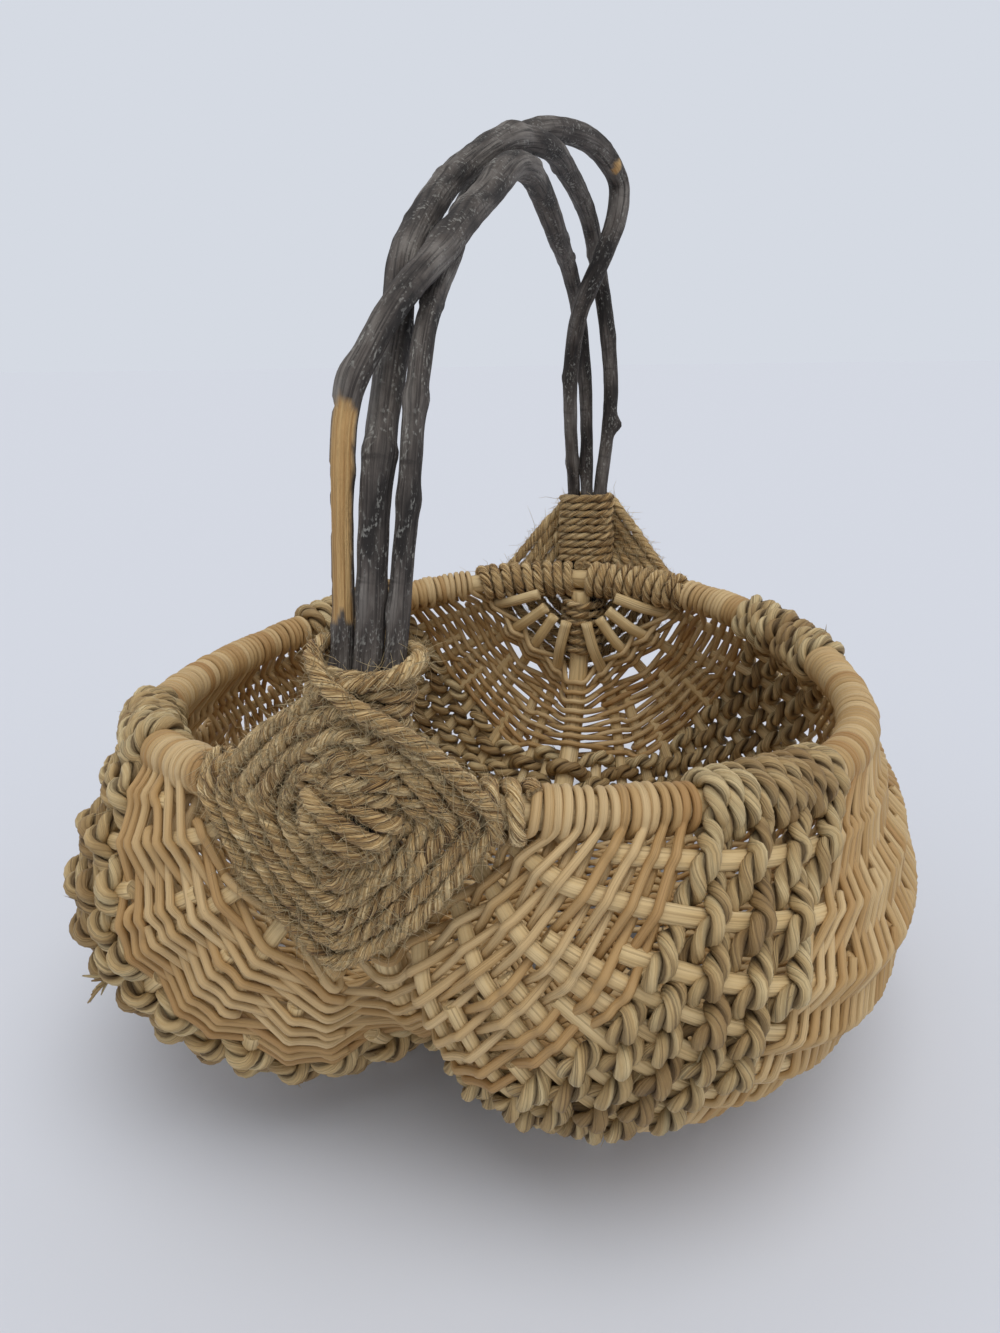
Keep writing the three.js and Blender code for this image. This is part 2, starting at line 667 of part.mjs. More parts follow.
// Diamond of cord over the crossing: a square spiral that rides on the four arms
const OVER_WRAP = 2 * CORD_RADIUS + CLEARANCE + 3 * NECK_SLACK;
const OVER_BARE = CLEARANCE + CORD_RADIUS;
const OVER_BRANCHES = BRANCH_Y + NECK_HALF_DEPTH + OVER_BARE;
const RIM_LEVEL = HOOP_RADIUS + OVER_WRAP + OVER_BARE;
function armPoint(endName, arm, step) {
  if (arm === 0) {
    const height = EYE_STEP_TOP * step;
    const neck = neckCentre(endName, height);
    const cover = OVER_WRAP * smooth((height - 1.5) / 2.5);
    const depth = Math.abs(neck.y) + NECK_HALF_DEPTH + OVER_BARE + cover;
    return new THREE.Vector3(neck.x, depth, height);
  }
  if (arm === 2) {
    const drop = EYE_STEP_FOOT * step;
    const lean = TAIL_LEAN * smooth(drop / EYE_FOOT_EASE);
    const skew = endName === "front" ? (FRONT_FOOT_SKEW * drop) / TAIL_LENGTH : 0;
    return new THREE.Vector3(skew, OVER_BRANCHES - lean, -drop);
  }
  const reach = EYE_STEP_SIDE * step;
  const hoop = surfacePoint(1, 0, -Math.acos(reach / RIM_HALF_WIDTH));
  const settled = RIM_LEVEL + Math.abs(hoop.y);
  const depth = THREE.MathUtils.lerp(OVER_BRANCHES, settled, smooth((reach - 10) / 14));
  return new THREE.Vector3(arm === 1 ? reach : -reach, depth, hoop.z - RIM_HEIGHT);
}
// One side of a round: level across the branches, then straight down to the hoop
function eyeFacet(upright, flank, halfWidth) {
  const shelf = Math.min(halfWidth / Math.abs(flank.x - upright.x), 0.75);
  return [shelf, 0.55 + shelf * 0.45].map((part) => {
    const point = upright.clone().lerp(flank, part);
    const fall = (part - shelf) / (1 - shelf);
    point.y = THREE.MathUtils.lerp(upright.y, flank.y, fall);
    return point;
  });
}
function eyeSpiral(endName, end) {
  const points = [];
  const quarters = EYE_ROUNDS * 4;
  for (let q = 0; q < quarters; q += 1) {
    const arm = q % 4;
    const from = armPoint(endName, arm, EYE_START + q / 4);
    const to = armPoint(endName, (arm + 1) % 4, EYE_START + (q + 1) / 4);
    const wide = NECK_HALF_WIDTH + (arm === 0 || arm === 3 ? OVER_WRAP : 0) + 0.6;
    points.push(from);
    if (arm % 2 === 0) {
      points.push(...eyeFacet(from, to, wide));
    } else {
      points.push(...eyeFacet(to, from, wide).reverse());
    }
  }
  points.push(armPoint(endName, quarters % 4, EYE_START + quarters / 4));
  return points.map((p) => new THREE.Vector3(p.x, -end * p.y, RIM_HEIGHT + p.z));
}
for (const [endName, end] of ENDS) {
  addWinding(`${endName}_eye_lashing`, eyeSpiral(endName, end), 8);
  addWinding(`${endName}_neck_lashing`, neckWrap(endName), 6);
  for (const [sideName, side] of SIDES) {
    addWinding(`${endName}_${sideName}_rim_lashing`, rimWrap(side, end), 5);
  }
}

export default basket;
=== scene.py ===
"""Two-lobed rib basket: woven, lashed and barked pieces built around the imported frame.

Metres, Z up. X runs across the two lobes, Y from the front lashing to the rear one.
"""
import logging
from dataclasses import dataclass, replace
from enum import Enum
from functools import cached_property, lru_cache
from math import acos, ceil, copysign, cos, pi, sin, sqrt
from random import Random
from typing import Sequence

import bmesh
import bpy
import numpy as np
from mathutils import Matrix, Vector, noise


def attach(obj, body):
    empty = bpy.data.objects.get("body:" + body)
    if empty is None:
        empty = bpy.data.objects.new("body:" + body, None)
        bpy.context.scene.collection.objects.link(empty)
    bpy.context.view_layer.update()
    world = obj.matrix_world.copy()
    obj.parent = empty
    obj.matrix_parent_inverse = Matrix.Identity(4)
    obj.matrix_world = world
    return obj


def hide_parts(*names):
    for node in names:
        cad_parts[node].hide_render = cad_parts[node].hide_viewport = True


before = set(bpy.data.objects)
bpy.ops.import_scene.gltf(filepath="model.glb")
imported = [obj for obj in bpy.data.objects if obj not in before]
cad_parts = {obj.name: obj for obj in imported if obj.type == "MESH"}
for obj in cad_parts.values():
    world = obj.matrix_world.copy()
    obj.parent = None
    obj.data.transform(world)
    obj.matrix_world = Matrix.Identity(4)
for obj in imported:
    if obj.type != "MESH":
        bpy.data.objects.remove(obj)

LOG = logging.getLogger("basket")
MM = 0.001
CM_IN_METRE = 100.0
FULL_TURN = 2.0 * pi
PHOTO_HEIGHT = 1333
UP = np.array([0.0, 0.0, 1.0])
STEEP = 0.9
JOIN_DISTANCE = 2e-8
HOLLOW_SHADE = 4.0
SHIFT_SHARES = (0.0, 0.25, 0.75, 1.0)
Array = np.ndarray
Socket = bpy.types.NodeSocket
Material = bpy.types.Material
Piece = bpy.types.Object
Pair = tuple[float, float]
Triple = tuple[float, float, float]
Tint = tuple[float, float, float, float]


def smooth(value: Array | float) -> Array | float:
    """Eases a value from 0 to 1."""
    t = np.clip(value, 0.0, 1.0)
    return t * t * (3.0 - 2.0 * t)


def unit(vectors: Array) -> Array:
    """Scales vectors to length one along the last axis."""
    size = np.linalg.norm(vectors, axis=-1, keepdims=True)
    return vectors / np.maximum(size, 1e-12)


def tint(red: int, green: int, blue: int) -> Tint:
    """Turns a display colour of 0 to 255 into a linear shader colour, by the sRGB formula.

    Args:
        red, green, blue: The colour as displayed.

    Returns:
        Linear red, green, blue and an alpha of one.
    """
    shares = [channel / 255.0 for channel in (red, green, blue)]
    linear = [s / 12.92 if s <= 0.04045 else ((s + 0.055) / 1.055) ** 2.4 for s in shares]
    return (linear[0], linear[1], linear[2], 1.0)


def flowing_line(points: Array, per_span: int) -> Array:
    """Runs a centripetal spline through points; extra columns are carried along.

    Args:
        points: Rows of x, y, z and any further values.
        per_span: Steps between one point and the next.

    Returns:
        The finer rows.
    """
    rows = np.asarray(points, float)
    padded = np.vstack([2 * rows[0] - rows[1], rows, 2 * rows[-1] - rows[-2]])
    before, start, end, after = padded[:-3], padded[1:-2], padded[2:-1], padded[3:]

    def knot(a: Array, b: Array) -> Array:
        """Centripetal knot distance between two rows of points."""
        gap = np.linalg.norm((b - a)[:, :3], axis=1)
        return np.sqrt(np.maximum(gap, 1e-9))[:, None]

    d0, d1, d2 = knot(before, start), knot(start, end), knot(end, after)
    out = ((start - before) / d0 - (end - before) / (d0 + d1) + (end - start) / d1) * d1
    into = ((end - start) / d1 - (after - start) / (d1 + d2) + (after - end) / d2) * d1
    pieces = []
    for step in range(per_span):
        t = step / per_span
        pieces.append(
            (2 * t**3 - 3 * t**2 + 1) * start + (t**3 - 2 * t**2 + t) * out
            + (-2 * t**3 + 3 * t**2) * end + (t**3 - t**2) * into
        )
    fine = np.stack(pieces, axis=1).reshape(-1, rows.shape[1])
    return np.vstack([fine, rows[-1]])


def run_length(points: Array) -> Array:
    """Length along a line at each of its points."""
    steps = np.linalg.norm(np.diff(points[:, :3], axis=0), axis=1)
    return np.concatenate([[0.0], np.cumsum(steps)])


def even_steps(points: Array, spacing: float) -> Array:
    """Lays points evenly along a line.

    Args:
        points: Rows of x, y, z and any further values.
        spacing: Wanted distance between points.

    Returns:
        Rows an even distance apart.
    """
    length = run_length(points)
    count = max(3, int(round(length[-1] / spacing)) + 1)
    wanted = np.linspace(0.0, length[-1], count)
    return np.stack([np.interp(wanted, length, column) for column in points.T], axis=1)


def carried_normals(points: Array) -> tuple[Array, Array]:
    """Directions along a line and normals carried along it without twist.

    Args:
        points: Points of the line.

    Returns:
        Tangents and normals, one of each for each point.
    """
    tangents = unit(np.gradient(points, axis=0))
    guide = UP if abs(tangents[0][2]) < STEEP else np.array([0.0, 1.0, 0.0])
    normals = np.empty_like(points)
    nx, ny, nz = guide
    for index, (tx, ty, tz) in enumerate(tangents.tolist()):
        along = nx * tx + ny * ty + nz * tz
        nx, ny, nz = nx - along * tx, ny - along * ty, nz - along * tz
        size = sqrt(nx * nx + ny * ny + nz * nz) or 1.0
        nx, ny, nz = nx / size, ny / size, nz / size
        normals[index] = (nx, ny, nz)
    return tangents, normals


def ring_angles(sides: int) -> Array:
    """Angles of the points of one ring."""
    return np.linspace(0.0, FULL_TURN, sides, endpoint=False)


def shorter_way(angle: Array) -> Array:
    """Size of an angle, taken the shorter way round."""
    return np.abs((angle + pi) % FULL_TURN - pi)


def off_line(angle: Array, normals: Array, across: Array) -> Array:
    """Directions off a line, at an angle from the normal at each of its points."""
    return np.cos(angle)[:, None] * normals + np.sin(angle)[:, None] * across


def wobble(length: Array, rate: float, lane: float, seed: float) -> Array:
    """Smooth irregularity along a strand.

    Args:
        length: Length along the strand.
        rate: Steps to a metre.
        lane: Sets one ply apart from the next.
        seed: Sets one cord apart from the next.

    Returns:
        Values from about -1 to 1.
    """
    return np.array([noise.noise(Vector((spot * rate, lane, seed))) for spot in length])


@dataclass(frozen=True)
class Strand:
    """One swept strand, ready to be meshed.

    Attributes:
        rings: Points round the strand, one ring after another.
        length: Length along the strand at each ring.
        tone: Colour share of each ring.
        painted_shade_and_bare: Depth of painted shade at each point of each ring, in the hollows of its
            profile and between plies; a bark branch carries its bare wood here instead.
    """

    rings: Array
    length: Array
    tone: Array
    painted_shade_and_bare: Array

    @staticmethod
    def along(
        points: Array,
        radii: Array | float,
        sides: int,
        tone: Array | float = 0.5,
        hint: Array | None = None,
        profile: Array | None = None,
        flat: float = 1.0,
    ) -> "Strand":
        """Sweeps a ring along a line.

        Args:
            points: Centre line.
            radii: Radius, one for all rings or one for each.
            sides: Points in a ring.
            tone: Colour share, one for all rings or one for each.
            hint: Direction of the first point of each ring; carried along where left out.
            profile: Radius share of each point of each ring.
            flat: Thickness along the hint as a share of the width across it.

        Returns:
            The swept strand.
        """
        count = len(points)
        if hint is None:
            tangents, normals = carried_normals(points)
        else:
            tangents = unit(np.gradient(points, axis=0))
            normals = unit(hint - tangents * np.sum(hint * tangents, axis=1, keepdims=True))
        across = np.cross(normals, tangents)
        turn = ring_angles(sides)
        reach = np.broadcast_to(np.asarray(radii, float), (count,))[:, None]
        share = np.ones((count, sides)) if profile is None else profile
        ring = (
            normals[:, None, :] * (flat * np.cos(turn))[None, :, None]
            + across[:, None, :] * np.sin(turn)[None, :, None]
        )
        rings = points[:, None, :] + ring * (reach * share)[:, :, None]
        # Painted shade: points that sink into the hollows of the profile are darkened.
        shade = np.clip((1.0 - share) * HOLLOW_SHADE, 0.0, 1.0)
        tones = np.broadcast_to(np.asarray(tone, float), (count,)).copy()
        return Strand(rings, run_length(points), tones, shade)


def shown(name: str, data: bpy.types.ID) -> Piece:
    """Makes an object from its data and puts it into the scene."""
    made = bpy.data.objects.new(name, data)
    bpy.context.scene.collection.objects.link(made)
    return made


class Bundle:
    """Collects strands into one mesh piece."""

    def __init__(self, name: str) -> None:
        """Starts an empty bundle under a piece name."""
        self.name = name
        self.strands: list[Strand] = []

    def add(self, strand: Strand) -> None:
        """Takes one more strand."""
        self.strands.append(strand)

    def build(self, material: Material) -> Piece:
        """Meshes all strands as closed tubes in one object.

        Args:
            material: Finish of the piece.

        Returns:
            The new object, at the origin.
        """
        grid = bmesh.new()
        sheets: dict[tuple[int, ...], bpy.types.Mesh] = {}
        for strand in self.strands:
            shape = strand.rings.shape[:2]
            if shape not in sheets:
                sheets[shape] = self._sheet(*shape)
            grid.from_mesh(sheets[shape])
        mesh = bpy.data.meshes.new(self.name)
        grid.to_mesh(mesh)
        grid.free()
        for sheet in sheets.values():
            bpy.data.meshes.remove(sheet)
        self._lay(mesh)
        shell = bmesh.new()
        shell.from_mesh(mesh)
        bmesh.ops.remove_doubles(shell, verts=shell.verts, dist=JOIN_DISTANCE)
        open_edges = [edge for edge in shell.edges if edge.is_boundary]
        bmesh.ops.holes_fill(shell, edges=open_edges, sides=0)
        for face in shell.faces:
            face.smooth = len(face.verts) == 4
        shell.to_mesh(mesh)
        shell.free()
        mesh.materials.append(material)
        return shown(self.name, mesh)

    @staticmethod
    def _sheet(rings: int, sides: int) -> bpy.types.Mesh:
        """Makes the plain grid of one strand.

        Args:
            rings: Rings along the strand.
            sides: Points in a ring.

        Returns:
            The grid, one step longer round than a ring so that its edges meet.
        """
        one = bmesh.new()
        one.loops.layers.uv.new("strand")
        bmesh.ops.create_grid(one, x_segments=rings - 1, y_segments=sides, size=0.5, calc_uvs=True)
        sheet = bpy.data.meshes.new("sheet")
        one.to_mesh(sheet)
        one.free()
        return sheet

    def _lay(self, mesh: bpy.types.Mesh) -> None:
        """Moves the grid's points onto the strands and writes their strand coordinates.

        Args:
            mesh: The plain grids, in the strands' order.
        """
        places, lengths, turns, tones, shades = [], [], [], [], []
        for strand in self.strands:
            rings, sides = strand.rings.shape[:2]
            order = np.arange(rings * (sides + 1))
            ring, side = order % rings, order // rings
            places.append(strand.rings[ring, side % sides])
            lengths.append(strand.length[ring] * CM_IN_METRE)
            turns.append(side / sides)
            tones.append(strand.tone[ring])
            shades.append(strand.painted_shade_and_bare[ring, side % sides])
        mesh.vertices.foreach_set("co", np.concatenate(places).astype(np.float32).ravel())
        corner = np.empty(len(mesh.loops), np.int32)
        mesh.loops.foreach_get("vertex_index", corner)
        flat = np.stack([np.concatenate(lengths)[corner], np.concatenate(turns)[corner]], axis=1)
        mesh.uv_layers["strand"].uv.foreach_set("vector", flat.astype(np.float32).ravel())
        # The second layer carries painted shade on the cords and the bare wood of the bark.
        for name, values in (("tone", tones), ("painted_shade_and_bare", shades)):
            layer = mesh.attributes.new(name, "FLOAT", "POINT")
            layer.data.foreach_set("value", np.concatenate(values).astype(np.float32))


def place(piece: Piece, nodes: Sequence[str] = ()) -> Piece:
    """Ties a piece to the frame and reports it.

    Args:
        piece: Finished piece.
        nodes: Frame nodes that the piece stands for.

    Returns:
        The same piece.
    """
    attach(piece, "root")
    if nodes:
        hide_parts(*nodes)
    LOG.info("%s: %d faces, for %s", piece.name, len(piece.data.polygons), ", ".join(nodes) or "-")
    return piece


@dataclass(frozen=True)
class Grain:
    """A noise pattern on a strand.

    Attributes:
        along: Pattern steps to a centimetre of length.
        around: Pattern steps to a radian of turn.
        detail: Layers of ever finer noise.
        lay: Turns of the pattern to a centimetre of length.
        scale: Fineness of the whole pattern.
        span: Range of its values that is stretched to 0 to 1 where it stains.
        strength: How much it stains or shifts a colour.
    """

    along: float
    around: float
    detail: float
    lay: float = 0.0
    scale: float = 1.0
    span: Pair = (0.0, 1.0)
    strength: float = 1.0


class Bench:
    """A material's node tree with short ways to add and join nodes."""

    def __init__(self, name: str) -> None:
        """Starts a material with one principled shader."""
        self.material = bpy.data.materials.new(name)
        self.material.use_nodes = True
        self.tree = self.material.node_tree
        self.shader = self.tree.nodes["Principled BSDF"]

    def node(self, kind: str, **settings: object) -> bpy.types.Node:
        """Adds a node of a kind and sets its properties."""
        made = self.tree.nodes.new(kind)
        for name, value in settings.items():
            setattr(made, name, value)
        return made

    def join(self, source: Socket, target: Socket) -> None:
        """Links one socket to another."""
        self.tree.links.new(source, target)

    def feed(self, value: object, target: Socket) -> None:
        """Links a socket to an input, or sets the input to a plain value."""
        if isinstance(value, Socket):
            self.join(value, target)
        else:
            target.default_value = value

    def maths(self, operation: str, *values: object) -> Socket:
        """Adds a maths node.

        Args:
            operation: Blender's name of the operation.
            values: Sockets or numbers for its inputs, in order.

        Returns:
            Its result.
        """
        made = self.node("ShaderNodeMath", operation=operation)
        for socket, value in zip(made.inputs, values):
            self.feed(value, socket)
        return made.outputs[0]

    def shifted(self, value: Socket, change: Socket, amount: float) -> Socket:
        """Moves a value up and down by another one, which lies about one half.

        Args:
            value: What is moved.
            change: What moves it.
            amount: Share of the change that is taken over.

        Returns:
            The moved value.
        """
        return self.maths("MULTIPLY_ADD", self.maths("SUBTRACT", change, 0.5), amount, value)

    def attribute(self, name: str) -> Socket:
        """Reads a number that the mesh carries."""
        return self.node("ShaderNodeAttribute", attribute_name=name).outputs["Fac"]

    def grain(self, grain: Grain) -> Socket:
        """Lays a noise pattern on a strand, without a jump where a turn closes.

        Args:
            grain: The pattern.

        Returns:
            Its value.
        """
        spot = self.node("ShaderNodeSeparateXYZ")
        self.join(self.node("ShaderNodeUVMap", uv_map="strand").outputs[0], spot.inputs[0])
        length, turn = spot.outputs[0], spot.outputs[1]
        turned = self.maths("MULTIPLY_ADD", length, grain.lay, turn)
        angle = self.maths("MULTIPLY", turned, FULL_TURN)
        space = self.node("ShaderNodeCombineXYZ")
        self.join(self.maths("MULTIPLY", length, grain.along), space.inputs[0])
        for number, way in ((1, "COSINE"), (2, "SINE")):
            self.join(self.maths("MULTIPLY", self.maths(way, angle), grain.around), space.inputs[number])
        made = self.node("ShaderNodeTexNoise")
        self.join(space.outputs[0], made.inputs["Vector"])
        made.inputs["Scale"].default_value = grain.scale
        made.inputs["Detail"].default_value = grain.detail
        return made.outputs[0]

    def ramp(self, source: Socket, stops: Sequence[tuple]) -> Socket:
        """Maps a value to colours.

        Args:
            source: The value.
            stops: Pairs of a place from 0 to 1 and a linear colour.

        Returns:
            The colour.
        """
        made = self.node("ShaderNodeValToRGB")
        bar = made.color_ramp
        for index, (spot, colour) in enumerate(stops):
            stop = bar.elements[index] if index < 2 else bar.elements.new(spot)
            stop.position = spot
            stop.color = colour
        self.join(source, made.inputs[0])
        return made.outputs[0]

    def spread(self, source: Socket, low: float, high: float) -> Socket:
        """Stretches a middle range of a value to 0 to 1."""
        made = self.node("ShaderNodeMapRange", clamp=True)
        made.inputs["From Min"].default_value = low
        made.inputs["From Max"].default_value = high
        self.join(source, made.inputs["Value"])
        return made.outputs[0]

    def blend(self, share: Socket, first: Socket, second: Socket | Tint) -> Socket:
        """Mixes two colours.

        Args:
            share: Amount of the second.
            first: The first colour.
            second: The second one, as a socket or as a plain colour.

        Returns:
            The mixed colour.
        """
        made = self.node("ShaderNodeMix", data_type="RGBA")
        # The colours of a mix node are its inputs 6 and 7 and its output 2.
        for number, value in ((0, share), (6, first), (7, second)):
            self.feed(value, made.inputs[number])
        return made.outputs[2]

    def stain(self, under: Socket, pattern: Socket, grain: Grain, over: Tint) -> Socket:
        """Lays a colour over another one along a pattern.

        Args:
            under: Colour below.
            pattern: Value of the pattern.
            grain: Its span and strength.
            over: Colour that is laid on.

        Returns:
            The stained colour.
        """
        mask = self.spread(pattern, *grain.span)
        return self.blend(self.maths("MULTIPLY", mask, grain.strength), under, over)

    def finish(
        self,
        colour: Socket,
        roughness: float,
        height: Socket,
        depth: float,
        specular: float = 0.3,
    ) -> Material:
        """Joins colour, gloss and relief to the shader.

        Args:
            colour: Surface colour.
            roughness: Shader roughness.
            height: Relief.
            depth: Full depth of the relief.
            specular: Strength of the gloss.

        Returns:
            The finished material.
        """
        self.join(colour, self.shader.inputs["Base Color"])
        self.shader.inputs["Roughness"].default_value = roughness
        self.shader.inputs["Specular IOR Level"].default_value = specular
        bump = self.node("ShaderNodeBump")
        bump.inputs["Strength"].default_value = 1.0
        bump.inputs["Distance"].default_value = depth
        self.join(height, bump.inputs["Height"])
        self.join(bump.outputs[0], self.shader.inputs["Normal"])
        return self.material


@dataclass(frozen=True)
class ReedFinish:
    """Round reed: pale straw to honey, with fine grain along each strand."""

    name: str = "round_reed"
    pale: Tint = tint(205, 177, 131)
    straw: Tint = tint(187, 154, 105)
    honey: Tint = tint(171, 132, 83)
    streak: Tint = tint(108, 80, 47)
    patches: Grain = Grain(0.16, 0.25, 2.0, strength=0.9)
    fibres: Grain = Grain(0.35, 4.6, 4.0, lay=0.02, span=(0.52, 0.74), strength=0.5)
    specks: Grain = Grain(3.0, 2.4, 2.0, scale=1.6, span=(0.7, 0.78), strength=0.45)
    roughness: float = 0.5
    relief: float = 0.22 * MM

    def make(self) -> Material:
        """Builds the reed material."""
        bench = Bench(self.name)
        patches = bench.grain(self.patches)
        tone = bench.shifted(bench.attribute("tone"), patches, self.patches.strength)
        base = bench.ramp(tone, ((0.15, self.pale), (0.5, self.straw), (0.92, self.honey)))
        fibres = bench.grain(self.fibres)
        colour = bench.stain(base, fibres, self.fibres, self.streak)
        colour = bench.stain(colour, bench.grain(self.specks), self.specks, self.streak)
        return bench.finish(colour, self.roughness, fibres, self.relief)


@dataclass(frozen=True)
class RibFinish:
    """Rib reed: paler, with strong ridges along the rod."""

    name: str = "rib_reed"
    pale: Tint = tint(222, 198, 152)
    straw: Tint = tint(204, 174, 122)
    groove: Tint = tint(128, 100, 64)
    patches: Grain = Grain(0.3, 0.6, 2.0)
    ridges: Grain = Grain(0.22, 3.4, 4.0, span=(0.5, 0.7), strength=0.6)
    roughness: float = 0.6
    relief: float = 0.5 * MM

    def make(self) -> Material:
        """Builds the rib material."""
        bench = Bench(self.name)
        base = bench.ramp(bench.grain(self.patches), ((0.3, self.straw), (0.7, self.pale)))
        ridges = bench.grain(self.ridges)
        colour = bench.stain(base, ridges, self.ridges, self.groove)
        return bench.finish(colour, self.roughness, bench.maths("SUBTRACT", 1.0, ridges), self.relief)


@dataclass(frozen=True)
class SeagrassFinish:
    """Seagrass rope: tan leaves with fine lines along them, and painted shade in the hollows of the leaf
    folds and between the plies.
    """

    name: str = "seagrass"
    straw: Tint = tint(228, 206, 158)
    tan: Tint = tint(203, 174, 124)
    shade: Tint = tint(162, 132, 88)
    dark: Tint = tint(72, 53, 32)
    patches: Grain = Grain(0.7, 0.6, 3.0)
    leaves: Grain = Grain(0.3, 3.2, 5.0, lay=0.03, span=(0.52, 0.66), strength=0.6)
    lines: Grain = Grain(0.6, 12.0, 3.0, lay=0.03, span=(0.46, 0.72), strength=0.55)
    tone_strength: float = 0.8
    painted_shade_strength: float = 0.75
    line_height: float = -0.45
    roughness: float = 0.55
    specular: float = 0.35
    relief: float = 0.7 * MM

    def make(self) -> Material:
        """Builds the seagrass material."""
        bench = Bench(self.name)
        tone = bench.shifted(bench.grain(self.patches), bench.attribute("tone"), self.tone_strength)
        base = bench.ramp(tone, ((0.24, self.shade), (0.47, self.tan), (0.7, self.straw)))
        leaves, lines = bench.grain(self.leaves), bench.grain(self.lines)
        colour = bench.stain(base, leaves, self.leaves, self.dark)
        colour = bench.stain(colour, lines, self.lines, self.shade)
        # Painted shade: the hollows of the leaf folds and the inner sides of the plies go dark.
        painted_shade_and_bare = bench.maths("MULTIPLY", bench.attribute("painted_shade_and_bare"), self.painted_shade_strength)
        colour = bench.blend(painted_shade_and_bare, colour, self.dark)
        height = bench.maths("MULTIPLY_ADD", lines, self.line_height, bench.maths("SUBTRACT", 1.0, leaves))
        return bench.finish(colour, self.roughness, height, self.relief, self.specular)


@dataclass(frozen=True)
class JuteFinish:
    """Jute twine: khaki brown hair-like fibres laid along each ply, with painted shade between the plies."""

    name: str = "jute"
    light: Tint = tint(252, 228, 178)
    golden: Tint = tint(216, 183, 129)
    brown: Tint = tint(166, 130, 82)
    dark: Tint = tint(76, 54, 31)
    patches: Grain = Grain(0.4, 0.5, 2.0, strength=0.5)
    fibres: Grain = Grain(1.3, 4.6, 5.0, lay=0.25)
    hairs: Grain = Grain(2.2, 13.0, 2.0, lay=0.2, strength=0.55)
    tone_strength: float = 0.25
    painted_shade_strength: float = 0.7
    hair_height: float = 0.4
    sheen: float = 0.12
    sheen_roughness: float = 0.5
    roughness: float = 0.9
    specular: float = 0.15
    relief: float = 0.7 * MM

    def make(self) -> Material:
        """Builds the jute material."""
        bench = Bench(self.name)
        fibres, hairs = bench.grain(self.fibres), bench.grain(self.hairs)
        tone = bench.shifted(fibres, bench.grain(self.patches), self.patches.strength)
        tone = bench.shifted(tone, hairs, self.hairs.strength)
        tone = bench.shifted(tone, bench.attribute("tone"), self.tone_strength)
        colour = bench.ramp(
            tone, ((0.28, self.dark), (0.43, self.brown), (0.56, self.golden), (0.74, self.light))
        )
        # Painted shade on the inner sides of the plies, where they meet.
        painted_shade_and_bare = bench.maths("MULTIPLY", bench.attribute("painted_shade_and_bare"), self.painted_shade_strength)
        colour = bench.blend(painted_shade_and_bare, colour, self.dark)
        bench.shader.inputs["Sheen Weight"].default_value = self.sheen
        bench.shader.inputs["Sheen Roughness"].default_value = self.sheen_roughness
        height = bench.maths("MULTIPLY_ADD", hairs, self.hair_height, fibres)
        return bench.finish(colour, self.roughness, height, self.relief, self.specular)


@dataclass(frozen=True)
class BarkFinish:
    """Dark grey bark with fine lines along it, lichen flecks and bare pale wood."""

    name: str = "bark"
    grey: Tint = tint(126, 120, 114)
    brown: Tint = tint(88, 81, 76)
    dark: Tint = tint(42, 38, 36)
    lichen: Tint = tint(172, 171, 164)
    wood: Tint = tint(206, 170, 116)
    wood_line: Tint = tint(164, 121, 70)
    patches: Grain = Grain(0.5, 0.6, 4.0)
    fissures: Grain = Grain(0.55, 6.5, 5.0, span=(0.48, 0.64), strength=0.75)
    flecks: Grain = Grain(6.0, 3.2, 3.0, scale=1.5, span=(0.56, 0.64), strength=0.5)
    fleck_patches: Grain = Grain(0.7, 0.8, 2.0, scale=1.3, span=(0.44, 0.6))
    rings: Grain = Grain(5.0, 0.25, 2.0, span=(0.6, 0.7), strength=0.45)
    wood_grain: Grain = Grain(0.3, 4.5, 4.0)
    fleck_height: float = 0.35
    roughness: float = 0.72
    relief: float = 0.8 * MM

    def make(self) -> Material:
        """Builds the bark material; its bare wood lies where the tone is one."""
        bench = Bench(self.name)
        patches = bench.grain(self.patches)
        base = bench.ramp(patches, ((0.34, self.dark), (0.5, self.brown), (0.68, self.grey)))
        fissures, flecks = bench.grain(self.fissures), bench.grain(self.flecks)
        colour = bench.stain(base, fissures, self.fissures, self.dark)
        covered = bench.spread(bench.grain(self.fleck_patches), *self.fleck_patches.span)
        lichen = bench.maths("MULTIPLY", bench.spread(flecks, *self.flecks.span), covered)
        colour = bench.blend(bench.maths("MULTIPLY", lichen, self.flecks.strength), colour, self.lichen)
        colour = bench.stain(colour, bench.grain(self.rings), self.rings, self.dark)
        peeled = bench.ramp(bench.grain(self.wood_grain), ((0.35, self.wood), (0.7, self.wood_line)))
        colour = bench.blend(bench.attribute("tone"), colour, peeled)
        depth = bench.maths("SUBTRACT", 1.0, fissures)
        height = bench.maths("MULTIPLY_ADD", flecks, self.fleck_height, depth)
        return bench.finish(colour, self.roughness, height, self.relief)


@dataclass(frozen=True)
class FloorFinish:
    """Plain pale table."""

    name: str = "pale_table"
    colour: Tint = tint(216, 219, 227)
    roughness: float = 0.7

    def make(self) -> Material:
        """Builds the table's material, without gloss."""
        bench = Bench(self.name)
        bench.shader.inputs["Base Color"].default_value = self.colour
        bench.shader.inputs["Roughness"].default_value = self.roughness
        bench.shader.inputs["Specular IOR Level"].default_value = 0.0
        return bench.material


